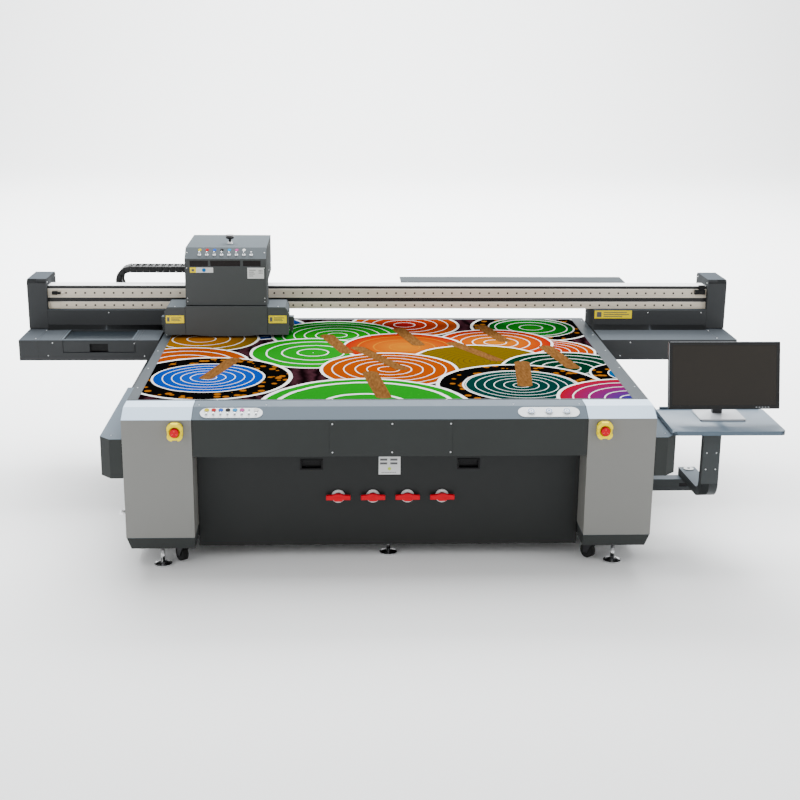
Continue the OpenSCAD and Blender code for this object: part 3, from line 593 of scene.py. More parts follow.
for x, y, radius, inner, outer, rings, ring_colour, collar_at, wobble in (
    (-0.85, 0.86, 0.42, cyan, blue, 5, white_line, 1.5, 0.03),
    (-1.12, 0.52, 0.40, amber, olive, 4, white_line, 1.5, 0.05),
    (0.16, 0.92, 0.40, red, orange, 5, white_line, 1.5, 0.03),
    (0.98, 0.84, 0.44, green, forest, 5, white_line, 0.7, 0.03),
    (-0.28, 0.62, 0.46, green, green, 6, white_line, 1.5, 0.05),
    (-1.16, -0.08, 0.42, orange, orange, 4, white_line, 1.5, 0.02),
    (-0.42, 0.16, 0.42, green, green, 4, white_line, 1.5, 0.06),
    (0.98, 0.2, 0.34, red, orange, 6, white_line, 1.5, 0.03),
    (0.7, 0.42, 0.4, amber, red, 5, white_line, 1.5, 0.03),
    (0.13, 0.3, 0.42, amber, red, 4, amber, 1.5, 0.04),
    (0.56, -0.06, 0.46, olive, olive, 12, black_line, 1.5, 0.05),
    (-0.99, -0.42, 0.52, sky, blue, 9, white_line, 0.66, 0.03),
    (1.05, -0.22, 0.43, forest, forest, 5, white_line, 1.5, 0.04),
    (0.02, -0.24, 0.44, orange, orange, 6, white_line, 1.5, 0.04),
    (1.42, -0.36, 0.3, cyan, blue, 6, white_line, 0.6, 0.03),
    (0.73, -0.6, 0.52, teal, teal, 9, white_line, 0.68, 0.03),
    (-0.13, -1.0, 0.62, green, green, 2.4, white_line, 1.5, 0.05),
    (1.3, -0.88, 0.46, blue, red, 5, white_line, 1.5, 0.03),
):
    layer = tree.nodes.new("ShaderNodeGroup")
    layer.node_tree = disc
    tree.links.new(cloth, layer.inputs["Under"])
    tree.links.new(flat.outputs["Vector"], layer.inputs["Place"])
    layer.inputs["Centre"].default_value = (x, y, 0)
    layer.inputs["Radius"].default_value = radius * 0.9
    layer.inputs["Rings"].default_value = rings
    layer.inputs["Collar"].default_value = collar_at
    layer.inputs["Wobble"].default_value = wobble
    for socket, colour in (("Inner", inner), ("Outer", outer), ("Ring Colour", ring_colour)):
        layer.inputs[socket].default_value = (*colour, 1)
    cloth = layer.outputs["Result"]
tree.links.new(cloth, shader.inputs["Base Color"])
folded("print_board", ink, 0.0004, 1)

wood, tree, shader, at = finish_tree("printed_wood")
grain = noise(tree, scaled(tree, at, (14, 3, 1)), 6.0, 5.0)
tree.links.new(blend_node(tree, grain, (0.03, 0.011, 0.002), (0.16, 0.07, 0.02)), shader.inputs["Base Color"])
shader.inputs["Roughness"].default_value = 0.5
shader.inputs["Specular IOR Level"].default_value = 0.0
shell = bmesh.new()
board_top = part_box("print_board")[1].z
for x, y, lean, long in ((-1.0, -0.43, 0.12, 0.42), (-0.03, -0.83, -0.06, 0.5), (0.75, -0.6, 0.05, 0.5),
                         (0.09, -0.23, -0.24, 0.5),
                         (-0.22, 0.16, -0.12, 0.44), (0.66, -0.03, -0.22, 0.42), (1.08, -0.21, -0.08, 0.5),
                         (0.22, 0.36, -0.1, 0.42),
                         (0.76, 0.46, -0.1, 0.4), (-0.88, 0.66, 0.12, 0.36)):
    ring = []
    for k in range(13):
        a = math.pi + math.pi * k / 12
        ring.append((x + 0.042 * math.cos(a), y + 0.03 * math.sin(a)))
    for k in range(13):
        a = math.pi * k / 12
        ring.append((x + lean + 0.046 * math.cos(a), y + long + 0.045 * math.sin(a)))
    shell.faces.new([shell.verts.new((px, py, board_top + 0.0003)) for px, py in ring])
bmesh.ops.triangulate(shell, faces=shell.faces)
settle(shell, "printed_pegs", wood, "base", smooth=False)


# ---------------------------------------------------------------- side housings, rails, feet and casters
# Long sheet covers hide the guide rails beside the table: painted grey at the
# front, soot black at the back. Ground steel rails, plated levelling feet,
# zinc caster forks and black rubber wheels sit behind and under them.
housing = folded("side_housings", dark_paint, 0.0025)
housing.data.materials.append(soot_paint)
for f in housing.data.polygons:
    if f.center.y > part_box("y_rails")[0].y + 0.7895:
        f.material_index = 1
ground_steel = steel("ground_steel", (0.6, 0.61, 0.62), rough=0.25, streak=(60, 1, 60))
folded("y_rails", ground_steel, 0.001, 1)
foot_chrome = steel("foot_chrome", (0.66, 0.66, 0.67), rough=0.22, streak=(1, 1, 1))
folded("levelling_feet", foot_chrome, 0.0015, 2)
fork_zinc = steel("fork_zinc", (0.06, 0.06, 0.065), rough=0.4, streak=(1, 1, 30))
rubber = moulded("wheel_rubber", (0.006, 0.006, 0.006), rough=0.75, lift=0.15)
for k in range(1, 5):
    folded(f"caster_fork_{k}", fork_zinc, 0.001, 1)
    folded(f"caster_wheel_{k}", rubber, 0.004, 3)
low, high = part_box("side_housings")
screws("housing_screws", [((s * 1.432, front + dy, high.z), (0, 0, 1)) for s in (-1, 1)
                          for dy in (0.07, 0.5, 0.95)],
       "base", white_zinc, 0.004, 0.002)
shell = bmesh.new()
dowel(shell, (-1.385, front, 0.338), (0, -1, 0), 0.011, 0.009, 0.02, 20)
dowel(shell, (-1.376, front + 0.02, 0.338), (0, -1, 0), 0.006, 0.006, 0.05, 20)
settle(shell, "air_fitting", white_zinc, "base")


# ---------------------------------------------------------------- gantry beam and its guide strips
# An extruded white-coated beam carries two cream guide strips with a row of
# bolt holes each. Black magnet track fills the gap between them.
gantry_paint = enamel("gantry_grey_paint", (0.049, 0.051, 0.053), rough=0.45, cloud=0.06, painted_top_light=0.045,
                      gleam=0.0, sheen=(0.8, 0.92, 1.0))
beam_paint = enamel("beam_white_paint", (0.85, 0.86, 0.86), rough=0.35, cloud=0.02, painted_top_light=0.0)
cream_paint = enamel("rail_cream_paint", (0.7, 0.62, 0.5), rough=0.4, cloud=0.04, painted_top_light=0.3)
strip_black = moulded("strip_black", (0.014, 0.014, 0.014), rough=0.4)
folded("gantry_beam", beam_paint, 0.0015)
folded("magnet_track", strip_black, 0.0005, 1)
low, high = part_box("beam_rails")


def join_ends(shell, ends):
    """A bar whose two ends are given as outlines."""
    faces = [shell.faces.new([shell.verts.new(spot) for spot in end]) for end in ends]
    bmesh.ops.bridge_loops(shell, edges=[e for f in faces for e in f.edges])


shell = bmesh.new()
for z0, z1 in ((low.z, low.z + 0.0445), (high.z - 0.0575, high.z)):
    tall = z1 - z0
    outline = [(0.0005, 0.0), (0.0195, 0.0), (0.0195, tall * 0.16), (0.0165, tall * 0.2),
               (0.0165, tall * 0.24), (0.0195, tall * 0.28),
               (0.0195, tall * 0.9), (0.0175, tall), (0.0005, tall)]
    join_ends(shell, [[(x, high.y - back, z0 + up) for back, up in outline] for x in (low.x, high.x)])
bmesh.ops.recalc_face_normals(shell, faces=shell.faces)
rails = settle(shell, "guide_strips", cream_paint, "gantry", smooth=False)
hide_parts("beam_rails")
shell = bmesh.new()
strip_face = high.y - 0.0195
hole_pitch = 0.06
for z in (low.z + 0.0225, high.z - 0.0275):
    for k in range(68):
        dowel(shell, (-2.0 + k * hole_pitch, strip_face - 0.0002, z), (0, -1, 0), 0.0062, 0.0062, 0.0012, 12)
settle(shell, "strip_holes", moulded("bolt_dark", (0.03, 0.025, 0.02), rough=0.5), "gantry",
       smooth=False)
shell = bmesh.new()
for x0, x1, z0, z1 in ((-2.086, -2.052, 1.096, 1.118), (-2.05, -2.03, 1.099, 1.113),
                       (2.036, 2.104, 1.1, 1.13), (2.06, 2.1, 1.132, 1.16)):
    add_box(shell, (x0, low.y - 0.02, z0), (x1, low.y - 0.0005, z1))
soften(shell, shell.edges, 0.002)
settle(shell, "limit_sensors", cup_black, "gantry")
shell = bmesh.new()
add_box(shell, (-2.03, low.y - 0.013, 1.102), (-2.012, low.y - 0.0005, 1.111))
add_box(shell, (-2.098, low.y - 0.004, 1.008), (-2.04, low.y - 0.0003, 1.046))
settle(shell, "sensor_flags", cream_paint, "gantry", smooth=False)


# ---------------------------------------------------------------- end covers and wings
# Tall folded covers close the beam's ends. Flat sheet-metal wings below carry
# the gantry's ends, the left one with a recessed lid and a waste drawer.
folded("end_covers", gantry_paint, 0.004)
folded("wing_left", gantry_paint, 0.003)
folded("wing_right", gantry_paint, 0.003)
folded("waste_drawer", gantry_paint, 0.0012, 1)
wing_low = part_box("wing_left")[0]
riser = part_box("end_covers")[0].y
wing_top = max(v.co.z for v in frame["nodes"]["wing_left"].data.vertices if v.co.y < wing_low.y + 0.001)
lid_blue = moulded("lid_blue", (0.012, 0.018, 0.024), rough=0.45)
shell = bmesh.new()
add_box(shell, (-1.9655, 0.5165, wing_top - 0.0117), (-1.5485, 0.7735, wing_top - 0.0095))
soften(shell, shell.edges, 0.0006, 1)
settle(shell, "lid_floor", lid_blue, "gantry")
shell = bmesh.new()
for low, high in (((-1.976, 0.504, 0), (-1.9675, 0.786, 0)), ((-1.5465, 0.504, 0), (-1.538, 0.786, 0)),
                  ((-1.9675, 0.504, 0), (-1.5465, 0.5145, 0)), ((-1.9675, 0.7755, 0), (-1.5465, 0.786, 0))):
    add_box(shell, (low[0], low[1], wing_top - 0.0004), (high[0], high[1], wing_top + 0.0012))
settle(shell, "lid_rim", enamel("lid_rim_paint", (0.07, 0.082, 0.092), rough=0.4, painted_top_light=0.04, gleam=0.1),
       "gantry", smooth=False)
shell = bmesh.new()
for seam in (-2.12, 2.12):
    add_box(shell, (seam - 0.0008, wing_low.y - 0.0004, 0.752),
            (seam + 0.0008, wing_low.y + 0.001, wing_top - 0.002))
    add_box(shell, (seam - 0.0008, wing_low.y + 0.002, wing_top - 0.0005),
            (seam + 0.0008, riser - 0.03, wing_top + 0.0003))
for x in (-1.99, -1.508):
    add_box(shell, (x - 0.0008, wing_low.y + 0.001, wing_top - 0.0005),
            (x + 0.0008, 0.795, wing_top + 0.0004))
add_box(shell, (-1.99, 0.7934, wing_top - 0.0005), (-1.508, 0.795, wing_top + 0.0004))
settle(shell, "wing_seams", strip_black, "gantry", smooth=False)
screws("wing_screws",
       [((x, wing_low.y, z), (0, -1, 0))
        for x, z in ((-2.03, 0.86), (-2.06, 0.78), (-1.53, 0.856), (-1.47, 0.776), (2.0, 0.86),
        (1.56, 0.86), (1.5, 0.775), (2.06, 0.775))]
       + [((x, y, wing_top), (0, 0, 1)) for x, y in ((-2.121, 0.759), (2.122, 0.745), (2.122, 0.531),
                                                     (-2.14, 0.53))]
       + [((x, riser, 0.985), (0, -1, 0)) for x in (-1.731, 1.732, 2.08)]
       + [((s * 2.1168, y, z), (-s, 0, 0)) for s in (-1, 1) for y in (0.835, 1.07) for z in (1.172,)],
       "gantry", white_zinc, 0.0037, 0.0018)
label_yellow = moulded("label_yellow", (0.95, 0.72, 0.005), rough=0.45, gleam=0.0)


def sticker(shell, y, x0, x1, z0, z1, layer=0):
    """A printed film on a face that looks forward, or with layer 1 the print on top of it."""
    add_box(shell, (x0, y - 0.001 - layer * 0.0006, z0), (x1, y - 0.0003 - layer * 0.0006, z1))


shell = bmesh.new()
sticker(shell, riser, 1.385, 1.628, 0.947, 0.999)
settle(shell, "wing_label", label_yellow, "gantry", smooth=False)
shell = bmesh.new()
sticker(shell, riser, 1.4, 1.43, 0.956, 0.99, 1)
for k, w in enumerate((0.15, 0.165, 0.12)):
    sticker(shell, riser, 1.445, 1.445 + w, 0.984 - k * 0.013, 0.989 - k * 0.013, 1)
settle(shell, "wing_label_marks", sign_grey, "gantry", smooth=False)
shell = bmesh.new()
drawer_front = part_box("waste_drawer")[0].y
add_box(shell, (-1.8035, drawer_front + 0.0205, 0.8035), (-1.6925, drawer_front + 0.0232, 0.8535))
settle(shell, "notch_back", cup_black, "waste_drawer", smooth=False)


# ---------------------------------------------------------------- chain trays and the cable chain
# Painted sheet-steel trays behind the beam hold a moulded cable chain. The straight runs
# are not attached to a body; the bend's links ride on the bend. The links are one row along each run.
tray_metal = enamel("tray_metal", (0.06, 0.063, 0.064), rough=0.4, cloud=0.1, painted_top_light=0.03, gleam=0.0)
folded("chain_trays", tray_metal, 0.0006, 1)
chain_black = moulded("chain_black", (0.007, 0.007, 0.0075), rough=0.6, lift=0.08)


def links(node, count):
    """A run of chain links: ribbed side plates, two cross bars and the cables' dark middle."""
    low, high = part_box(node)
    pitch = (high.x - low.x) / count
    shell = bmesh.new()
    for k in range(count):
        x = low.x + pitch * k
        for y0, y1 in ((low.y, low.y + 0.014), (high.y - 0.014, high.y)):
            add_box(shell, (x + pitch * 0.02, y0, low.z + 0.002), (x + pitch * 0.98, y1, high.z - 0.001))
        for y0, y1 in ((low.y - 0.0015, low.y + 0.006), (high.y - 0.006, high.y + 0.0015)):
            add_box(shell, (x + pitch * 0.34, y0, low.z + 0.006), (x + pitch * 0.66, y1, high.z - 0.006))
        for z0, z1 in ((high.z - 0.007, high.z - 0.001), (low.z + 0.002, low.z + 0.008)):
            add_box(shell, (x + pitch * 0.3, low.y + 0.013, z0), (x + pitch * 0.7, high.y - 0.013, z1))
        add_box(shell, (x + pitch * 0.05, low.y + 0.02, low.z + 0.01),
                (x + pitch * 0.98, high.y - 0.02, high.z - 0.01))
    soften(shell, [e for e in shell.edges if e.calc_length() < 0.2], 0.0014, 1)
    return shell


low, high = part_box("chain_lower_run")
run = settle(links("chain_lower_run", 38), "chain_lower_links", chain_black, None,
             smooth=False)
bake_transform(run)
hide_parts("chain_lower_run")
low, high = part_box("chain_upper_run")
run = settle(links("chain_upper_run", 9), "chain_upper_links", chain_black, None, smooth=False)
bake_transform(run)
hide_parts("chain_upper_run")
bend_low, bend_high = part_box("chain_bend")
centre_z = (bend_low.z + bend_high.z) / 2
r = (bend_high.z - bend_low.z) / 2 - 0.021
shell = bmesh.new()
for k in range(6):
    a = math.pi / 2 + (k + 0.5) * math.pi / 6
    turn = Matrix.Translation((bend_high.x, 0, centre_z)) @ Matrix.Rotation(-a + math.pi / 2, 4, "Y")
    blocks = [((-0.0225, bend_low.y, r - 0.0195), (0.0225, bend_low.y + 0.014, r + 0.0195)),
              ((-0.0225, bend_high.y - 0.014, r - 0.0195), (0.0225, bend_high.y, r + 0.0195)),
              ((-0.011, bend_low.y - 0.0015, r - 0.014), (0.011, bend_low.y + 0.006, r + 0.014)),
              ((-0.0215, bend_low.y + 0.013, r + 0.012), (0.0215, bend_high.y - 0.013, r + 0.0185)),
              ((-0.0215, bend_low.y + 0.02, r - 0.011), (0.0215, bend_high.y - 0.02, r + 0.011))]
    for low, high in blocks:
        made = add_box(shell, low, high)
        bmesh.ops.transform(shell, matrix=turn, verts=made)
soften(shell, shell.edges, 0.0014, 1)
bend = settle(shell, "chain_bend_links", chain_black, "chain_bend", smooth=False)
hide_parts("chain_bend")
folded("chain_end", ground_steel, 0.0008, 1)


# ---------------------------------------------------------------- carriage
# Sheet-metal lower housing and hood over the print heads, painted like the
# gantry, with a curing lamp box at each side and a plated bumper plunger on each lamp.
hood_paint = enamel("hood_grey_paint", (0.072, 0.0765, 0.077), rough=0.45, cloud=0.05, painted_top_light=0.05, gleam=0.0,
                    sheen=(0.82, 0.92, 1.0))
folded("carriage_hood", hood_paint, 0.0035)
folded("uv_lamps", hood_paint, 0.004)
folded("carriage_base", hood_paint, 0.002)
folded("print_heads", steel("head_steel", (0.5, 0.5, 0.52), rough=0.3, streak=(40, 1, 1)), 0.001, 1)
folded("cross_slide", ground_steel, 0.001, 1)
base_low, base_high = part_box("carriage_base")
hood_low, hood_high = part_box("carriage_hood")
lamp_low, lamp_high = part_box("uv_lamps")
lamp_left, lamp_right = -1.3465, -0.5815
car_front = base_low.y
car_x = -0.964  # middle of the carriage at rest
shell = bmesh.new()
for x in (base_low.x - 0.0006, base_high.x + 0.0006):
    add_box(shell, (x - 0.0009, car_front - 0.0003, 0.899), (x + 0.0009, car_front + 0.004, 1.076))
settle(shell, "housing_seams", strip_black, "carriage", smooth=False)
shell = bmesh.new()
outline = [(base_low.x + 0.05, base_low.z + 0.0005), (base_low.x + 0.13, base_low.z - 0.008),
           (base_high.x - 0.13, base_low.z - 0.008), (base_high.x - 0.05, base_low.z + 0.0005)]
join_ends(shell, [[(x, y, z) for x, z in outline] for y in (car_front + 0.001, car_front + 0.004)])
bmesh.ops.recalc_face_normals(shell, faces=shell.faces)
settle(shell, "housing_lip", hood_paint, "carriage", smooth=False)
vent_dark = moulded("vent_dark", (0.006, 0.0028, 0.0025), rough=0.5)
shell = bmesh.new()
for x0, x1 in ((-1.182, -1.071), (-1.056, -0.873), (-0.856, -0.748)):
    add_box(shell, (x0 - 0.004, hood_low.y + 0.0034, 1.321), (x1 + 0.004, hood_low.y + 0.0052, 1.364))
    for k in range(3):
        add_box(shell, (x0, hood_low.y + 0.0024, 1.3325 + k * 0.0095),
                (x1, hood_low.y + 0.0036, 1.3345 + k * 0.0095))
settle(shell, "vent_glass", vent_dark, "carriage", smooth=False)

# Labels carry plain bars and spots only.
shell = bmesh.new()
for x0, x1 in ((lamp_left + 0.0085, lamp_left + 0.1205), (lamp_right - 0.1215, lamp_right - 0.0105)):
    sticker(shell, car_front, x0, x1, 0.972, 1.02)
sticker(shell, hood_low.y, hood_low.x + 0.032, hood_low.x + 0.07, 1.286, 1.318)
settle(shell, "lamp_labels", label_yellow, "carriage", smooth=False)
shell = bmesh.new()
sticker(shell, hood_low.y, hood_low.x + 0.07, hood_low.x + 0.174, 1.286, 1.318)
sticker(shell, hood_low.y, hood_high.x - 0.116, hood_high.x - 0.014, 1.249, 1.317)
settle(shell, "hood_labels", sign_white, "carriage", smooth=False)
shell = bmesh.new()
for x0 in (lamp_left + 0.0155, lamp_right - 0.1145):
    sticker(shell, car_front, x0, x0 + 0.016, 0.982, 1.01, 1)
    for k, w in enumerate((0.062, 0.05, 0.056)):
        sticker(shell, car_front, x0 + 0.026, x0 + 0.026 + w, 1.004 - k * 0.009, 1.008 - k * 0.009, 1)
sticker(shell, hood_low.y, hood_low.x + 0.042, hood_low.x + 0.058, 1.294, 1.308, 1)
for k, w in enumerate((0.042, 0.03, 0.036, 0.026)):
    sticker(shell, hood_low.y, hood_high.x - 0.106, hood_high.x - 0.106 + w, 1.3 - k * 0.012,
            1.3035 - k * 0.012, 1)
for i in range(3):
    for j in range(3):
        x, z = hood_high.x - 0.046 + i * 0.009, 1.28 + j * 0.009
        sticker(shell, hood_low.y, x, x + 0.005, z, z + 0.005, 1)
settle(shell, "label_marks", sign_grey, "carriage", smooth=False)
shell = bmesh.new()
dowel(shell, (hood_low.x + 0.118, hood_low.y - 0.0014, 1.302), (0, -1, 0), 0.012, 0.012, 0.0008, 20)
settle(shell, "label_spot", icon_blue, "carriage", smooth=False)

# The hood's slope carries eight chrome toggles with a coloured spot above seven of them.
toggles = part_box("carriage_toggles")
hood_edges = [(v.co.y, v.co.z) for v in frame["nodes"]["carriage_hood"].data.vertices]
crest = min(y for y, z in hood_edges if z > hood_high.z - 0.0005)
brow = max(z for y, z in hood_edges if y < hood_low.y + 0.0005)
up_hood = Vector((0, crest - hood_low.y, hood_high.z - brow)).normalized()
out_hood = Vector((0, -up_hood.z, up_hood.y))
chrome = moulded("toggle_silver", (0.6, 0.61, 0.63), rough=0.3, coat=0.4)
folded("carriage_toggles", toggle_chrome, 0.0006, 1)
mid_slope = Vector((0, (crest + hood_low.y) / 2, (hood_high.z + brow) / 2))
shell = bmesh.new()
for k in range(8):
    spot = Vector((toggles[0].x + 0.0046 + k * 0.0454, 0, 0)) + mid_slope - up_hood * 0.016 + out_hood * 0.002
    dowel(shell, spot, out_hood, 0.0115, 0.0095, 0.004, 24)
settle(shell, "hood_collars", chrome, "carriage")
shell = bmesh.new()
for k in range(7):
    spot = Vector((toggles[0].x + 0.0046 + k * 0.0454, 0,
                   0)) + mid_slope + up_hood * 0.028 + out_hood * 0.0006
    known = set(shell.faces)
    dowel(shell, spot, out_hood, 0.0105, 0.0105, 0.001, 24)
    for f in shell.faces:
        if f not in known:
            f.material_index = k
settle(shell, "hood_spots", [ink_finish[c]
                             for c in ("yellow", "red", "blue", "black", "cyan", "pink", "white")],
                             "carriage", smooth=False)
screws("hood_screws",
       [((x, hood_low.y, z), (0, -1, 0)) for x in (hood_low.x + 0.012, hood_high.x - 0.012)
        for z in (1.315, 1.125, 1.104)]
       + [(Vector((x, 0, 0)) + mid_slope + up_hood * 0.005, out_hood)
          for x in (hood_low.x + 0.012, hood_high.x - 0.012)]
       + [((s, y, 1.25), (math.copysign(1, s - car_x), 0, 0)) for s in (hood_low.x, hood_high.x)
          for y in (hood_high.y - 0.03, hood_high.y - 0.3)],
       "carriage", white_zinc, 0.0038, 0.002)
screws("lamp_screws", [((x, car_front + 0.02, lamp_high.z), (0, 0, 1))
                       for x in (lamp_left + 0.064, lamp_right - 0.064)]
       + [((s, y, 1.03), (math.copysign(1, s - car_x), 0, 0)) for s in (lamp_left, lamp_right)
          for y in (car_front + 0.03, car_front + 0.21)],
       "carriage", white_zinc, 0.0042, 0.002)
knob_black = moulded("knob_black", (0.012, 0.012, 0.013), rough=0.3, lift=0.1)
folded("hood_knob", knob_black, 0.003, 3)
knob_low, knob_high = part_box("hood_knob")
shell = bmesh.new()
centre = (knob_low + knob_high) / 2
dowel(shell, (centre.x, centre.y, hood_high.z + 0.0062), (0, 0, 1), 0.018, 0.011, 0.012, 32)
soften(shell, shell.edges, 0.0015)
settle(shell, "knob_flange", white_zinc, "carriage")
shell = bmesh.new()
for x in (lamp_low.x, lamp_high.x):
    dowel(shell, (x - math.copysign(0.017, x - car_x), 0.667, 0.9), (0, 0, 1), 0.008, 0.008, 0.03, 20)
settle(shell, "bumper_plungers", white_zinc, "carriage")


# ---------------------------------------------------------------- monitor bar, arm and shelf
# A folded steel bar bolted under the right column holds a swinging arm, which
# carries a flat painted shelf at table height.
arm_paint = enamel("arm_paint", (0.05, 0.054, 0.055), rough=0.4, cloud=0.05, painted_top_light=0.09, gleam=0.05,
                   sheen=(0.8, 0.92, 1.0))
folded("monitor_bar", arm_paint, 0.002)
folded("shelf_arm", arm_paint, 0.004)
shelf_paint = enamel("shelf_paint", (0.08, 0.108, 0.14), rough=0.34, cloud=0.03, painted_top_light=0.08,
                     sheen=(0.85, 0.94, 1.0))
folded("shelf_top", shelf_paint, 0.004)
bar_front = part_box("monitor_bar")[0].y
shell = bmesh.new()
add_box(shell, (1.612, bar_front + 0.0035, 0.296), (1.692, bar_front + 0.006, 0.338))
settle(shell, "bar_slot", cup_black, "base", smooth=False)
leg = math.radians(2.1)
along = Vector((math.cos(leg), math.sin(leg), 0))
across = Vector((-math.sin(leg), math.cos(leg), 0))
middle_y = 1.102  # the drawing's y at the middle of the machine
pivot = Vector((1.681, 0.48 - middle_y, 0))
spots = []
for x in (-0.026, 0.026):
    for z in (0.613, 0.522):
        spots.append((pivot + along * x - across * 0.3762 + Vector((0, 0, z)), -across))
screws("arm_screws", spots, "monitor_arm", white_zinc, 0.0045, 0.0024)
shell = bmesh.new()
dowel(shell, pivot + Vector((0, 0, 0.4008)), (0, 0, 1), 0.029, 0.027, 0.003, 32)
soften(shell, shell.edges, 0.0008, 1)
settle(shell, "pivot_washer", sign_white, "monitor_arm")


# ---------------------------------------------------------------- monitor
# A slim monitor on a silver moulded stand: a black back shell, a thin bezel
# and a dark switched-off screen with small buttons low on the right.
silver = moulded("stand_silver", (0.4, 0.415, 0.44), rough=0.3, coat=0.3)
stand_dark = moulded("stand_dark", (0.035, 0.035, 0.038), rough=0.35)
stand = folded("monitor_stand", silver, 0.003, 3)
stand.data.materials.append(stand_dark)
base_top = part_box("monitor_stand")[0].z + 0.014
for f in stand.data.polygons:
    if f.center.z > base_top:
        f.material_index = 1
shell_black = moulded("monitor_black", (0.01, 0.01, 0.01), rough=0.3, lift=0.06)
folded("monitor", shell_black, 0.0022, 2)
glass, tree, shader, at = finish_tree("screen_glass")
fade = noise(tree, at, 1.6)
tree.links.new(blend_node(tree, fade, (0.011, 0.0085, 0.006), (0.019, 0.015, 0.011)),
               shader.inputs["Base Color"])
shader.inputs["Roughness"].default_value = 0.22
shader.inputs["Specular IOR Level"].default_value = 0.4
hinge = Vector((0, 0.27 - middle_y, 0.98))
lean = Matrix.Translation(hinge) @ Matrix.Rotation(math.radians(-13), 4, "X") @ Matrix.Translation(-hinge)
face_y = 0.202 - middle_y
back_face = 0.2552 - middle_y
screen_x, half = 1.762, 0.296
shell = bmesh.new()
made = add_box(shell, (screen_x - half + 0.0185, face_y + 0.0006, 0.8355),
               (screen_x + half - 0.0185, face_y + 0.0017, 1.1525))
bmesh.ops.transform(shell, matrix=lean, verts=made)
settle(shell, "monitor_screen", glass, "monitor", smooth=False)
shell = bmesh.new()
for x0, x1, z0, z1 in ((screen_x - half + 0.006, screen_x + half - 0.006, 1.1685, 1.1702),
                       (screen_x - half + 0.001, screen_x - half + 0.0026, 0.824, 1.162)):
    add_box(shell, (x0, face_y - 0.0004, z0), (x1, face_y + 0.002, z1))
for k in range(5):
    add_box(shell, (1.93 + k * 0.016, face_y - 0.0006, 0.8235), (1.9385 + k * 0.016, face_y + 0.001, 0.827))
bmesh.ops.transform(shell, matrix=lean, verts=shell.verts)
settle(shell, "monitor_edge", silver, "monitor", smooth=False)
shell = bmesh.new()
for k in range(14):
    add_box(shell, (1.62 + k * 0.021, back_face, 1.02), (1.634 + k * 0.021, back_face + 0.0013, 1.075))
add_box(shell, (1.64, back_face, 0.895), (1.89, back_face + 0.0013, 0.93))
bmesh.ops.transform(shell, matrix=lean, verts=shell.verts)
settle(shell, "monitor_vents", stand_dark, "monitor", smooth=False)


# ---------------------------------------------------------------- rear and side trim
# The back panel is split into three screwed doors with pressed louvres, two
# round locks each and a power inlet. The side panels and the hood's back have
# seams, louvres and screws too.
panels_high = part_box("base_panels")[1]
back_y = panels_high.y


def louvre(shell, origin, along, out, width):
    """A pressed louvre: a shallow hood that opens downwards."""
    up = Vector((0, 0, 1))
    drop, proud = 0.016, 0.006
    ends = []
    for s in (-0.5, 0.5):
        inset = 0.006 * (-2 * s)
        profile = [(0, drop, 0), (proud, drop * 0.2, inset), (proud, 0.0, inset), (0, 0.0, 0)]
        ends.append([origin + along * (width * s + step) + out * o + up * z for o, z, step in profile])
    join_ends(shell, ends)


shell = bmesh.new()
for x in (-0.9, 0.0, 0.9):
    for k in range(7):
        for side in (-0.1, 0.1):
            louvre(shell, Vector((x + side, back_y, 0.5 + k * 0.026)), Vector((1, 0, 0)), Vector((0, 1, 0)),
                   0.14)
for s in (-1, 1):
    for y in (-0.35, 0.35):
        for k in range(6):
            louvre(shell, Vector((s * panels_high.x, y, 0.22 + k * 0.026)), Vector((0, 1, 0)),
                   Vector((s, 0, 0)), 0.16)
bmesh.ops.recalc_face_normals(shell, faces=shell.faces)
settle(shell, "panel_louvres", dark_paint, "base", smooth=False)
shell = bmesh.new()
for k in range(6):
    louvre(shell, Vector((car_x, hood_high.y, 1.26 + k * 0.022)), Vector((1, 0, 0)), Vector((0, 1, 0)), 0.26)
bmesh.ops.recalc_face_normals(shell, faces=shell.faces)
settle(shell, "hood_louvres", hood_paint, "carriage", smooth=False)
shell = bmesh.new()
for x in (-0.45, 0.45):
    add_box(shell, (x - 0.001, back_y - 0.0005, 0.088), (x + 0.001, back_y + 0.0004, 0.742))
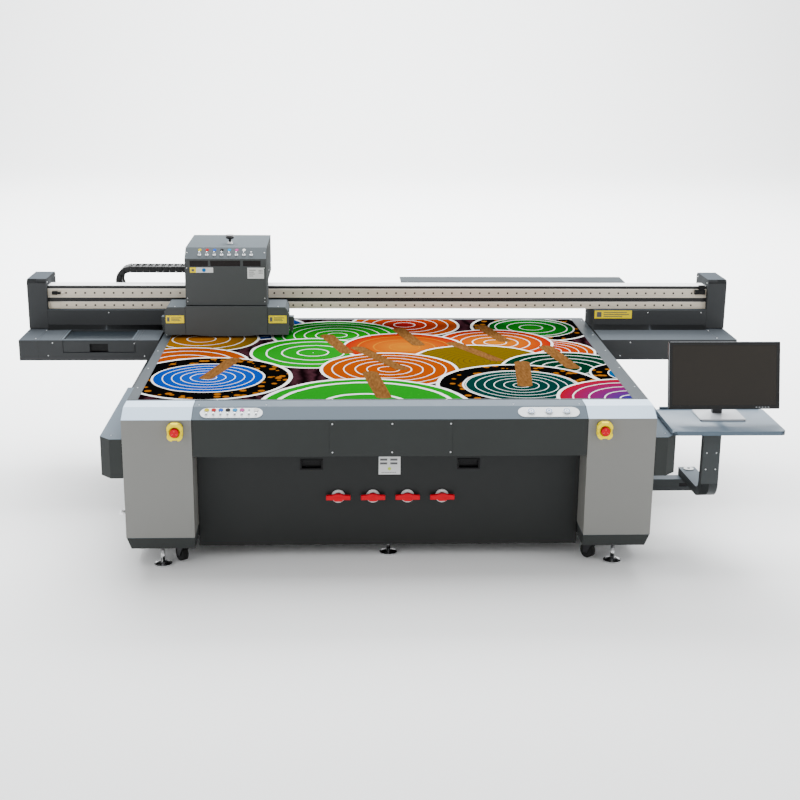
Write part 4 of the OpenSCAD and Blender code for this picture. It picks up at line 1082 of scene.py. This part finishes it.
for s in (-1, 1):
    for y in (-0.7, 0.0, 0.7):
        add_box(shell, (s * panels_high.x - 0.0005, y - 0.001, 0.088),
                (s * panels_high.x + 0.0005, y + 0.001, 0.516))
settle(shell, "panel_seams", strip_black, "base", smooth=False)
screws("panel_screws", [((x, back_y, z), (0, 1, 0)) for x in (-1.33, -0.47, -0.43, 0.43, 0.47, 1.33)
                        for z in (0.11, 0.4, 0.72)]
       + [((s * panels_high.x, y, z), (s, 0, 0)) for s in (-1, 1)
          for y in (-0.86, -0.72, -0.68, -0.02, 0.02, 0.68, 0.72, 1.1) for z in (0.11, 0.49)],
       "base", white_zinc, 0.005, 0.0024)
screws("hood_back_screws", [((x, hood_high.y, z), (0, 1, 0))
                            for x in (hood_low.x + 0.02, hood_high.x - 0.02) for z in (1.22, 1.4)],
                            "carriage", white_zinc, 0.0045, 0.0022)
shell = bmesh.new()
for x in (-0.52, 0.38, 0.52, 1.28, -1.28, -0.38):
    dowel(shell, (x, back_y + 0.004, 0.3), (0, 1, 0), 0.017, 0.014, 0.008, 28)
soften(shell, [e for e in shell.edges if len(e.link_faces) == 2 and e.calc_face_angle(0) > 0.6], 0.001)
settle(shell, "panel_locks", knob_black, "base")
shell = bmesh.new()
add_box(shell, (1.08, back_y, 0.17), (1.2, back_y + 0.009, 0.25))
bmesh.ops.inset_individual(shell, faces=[f for f in shell.faces if f.normal.y > 0.9], thickness=0.01,
                           depth=-0.004)
for k in range(3):
    dowel(shell, (0.98 - k * 0.045, back_y + 0.005, 0.19), (0, 1, 0), 0.014, 0.014, 0.01, 6)
    dowel(shell, (0.98 - k * 0.045, back_y + 0.014, 0.19), (0, 1, 0), 0.01, 0.008, 0.01, 20)
settle(shell, "power_inlet", cup_black, "base", smooth=False)
beam_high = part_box("gantry_beam")[1]
screws("beam_back_screws", [((-2.0 + k * 0.25, beam_high.y - 0.02, beam_high.z), (0, 0, 1))
                            for k in range(17)], "gantry", white_zinc, 0.0045, 0.0022)
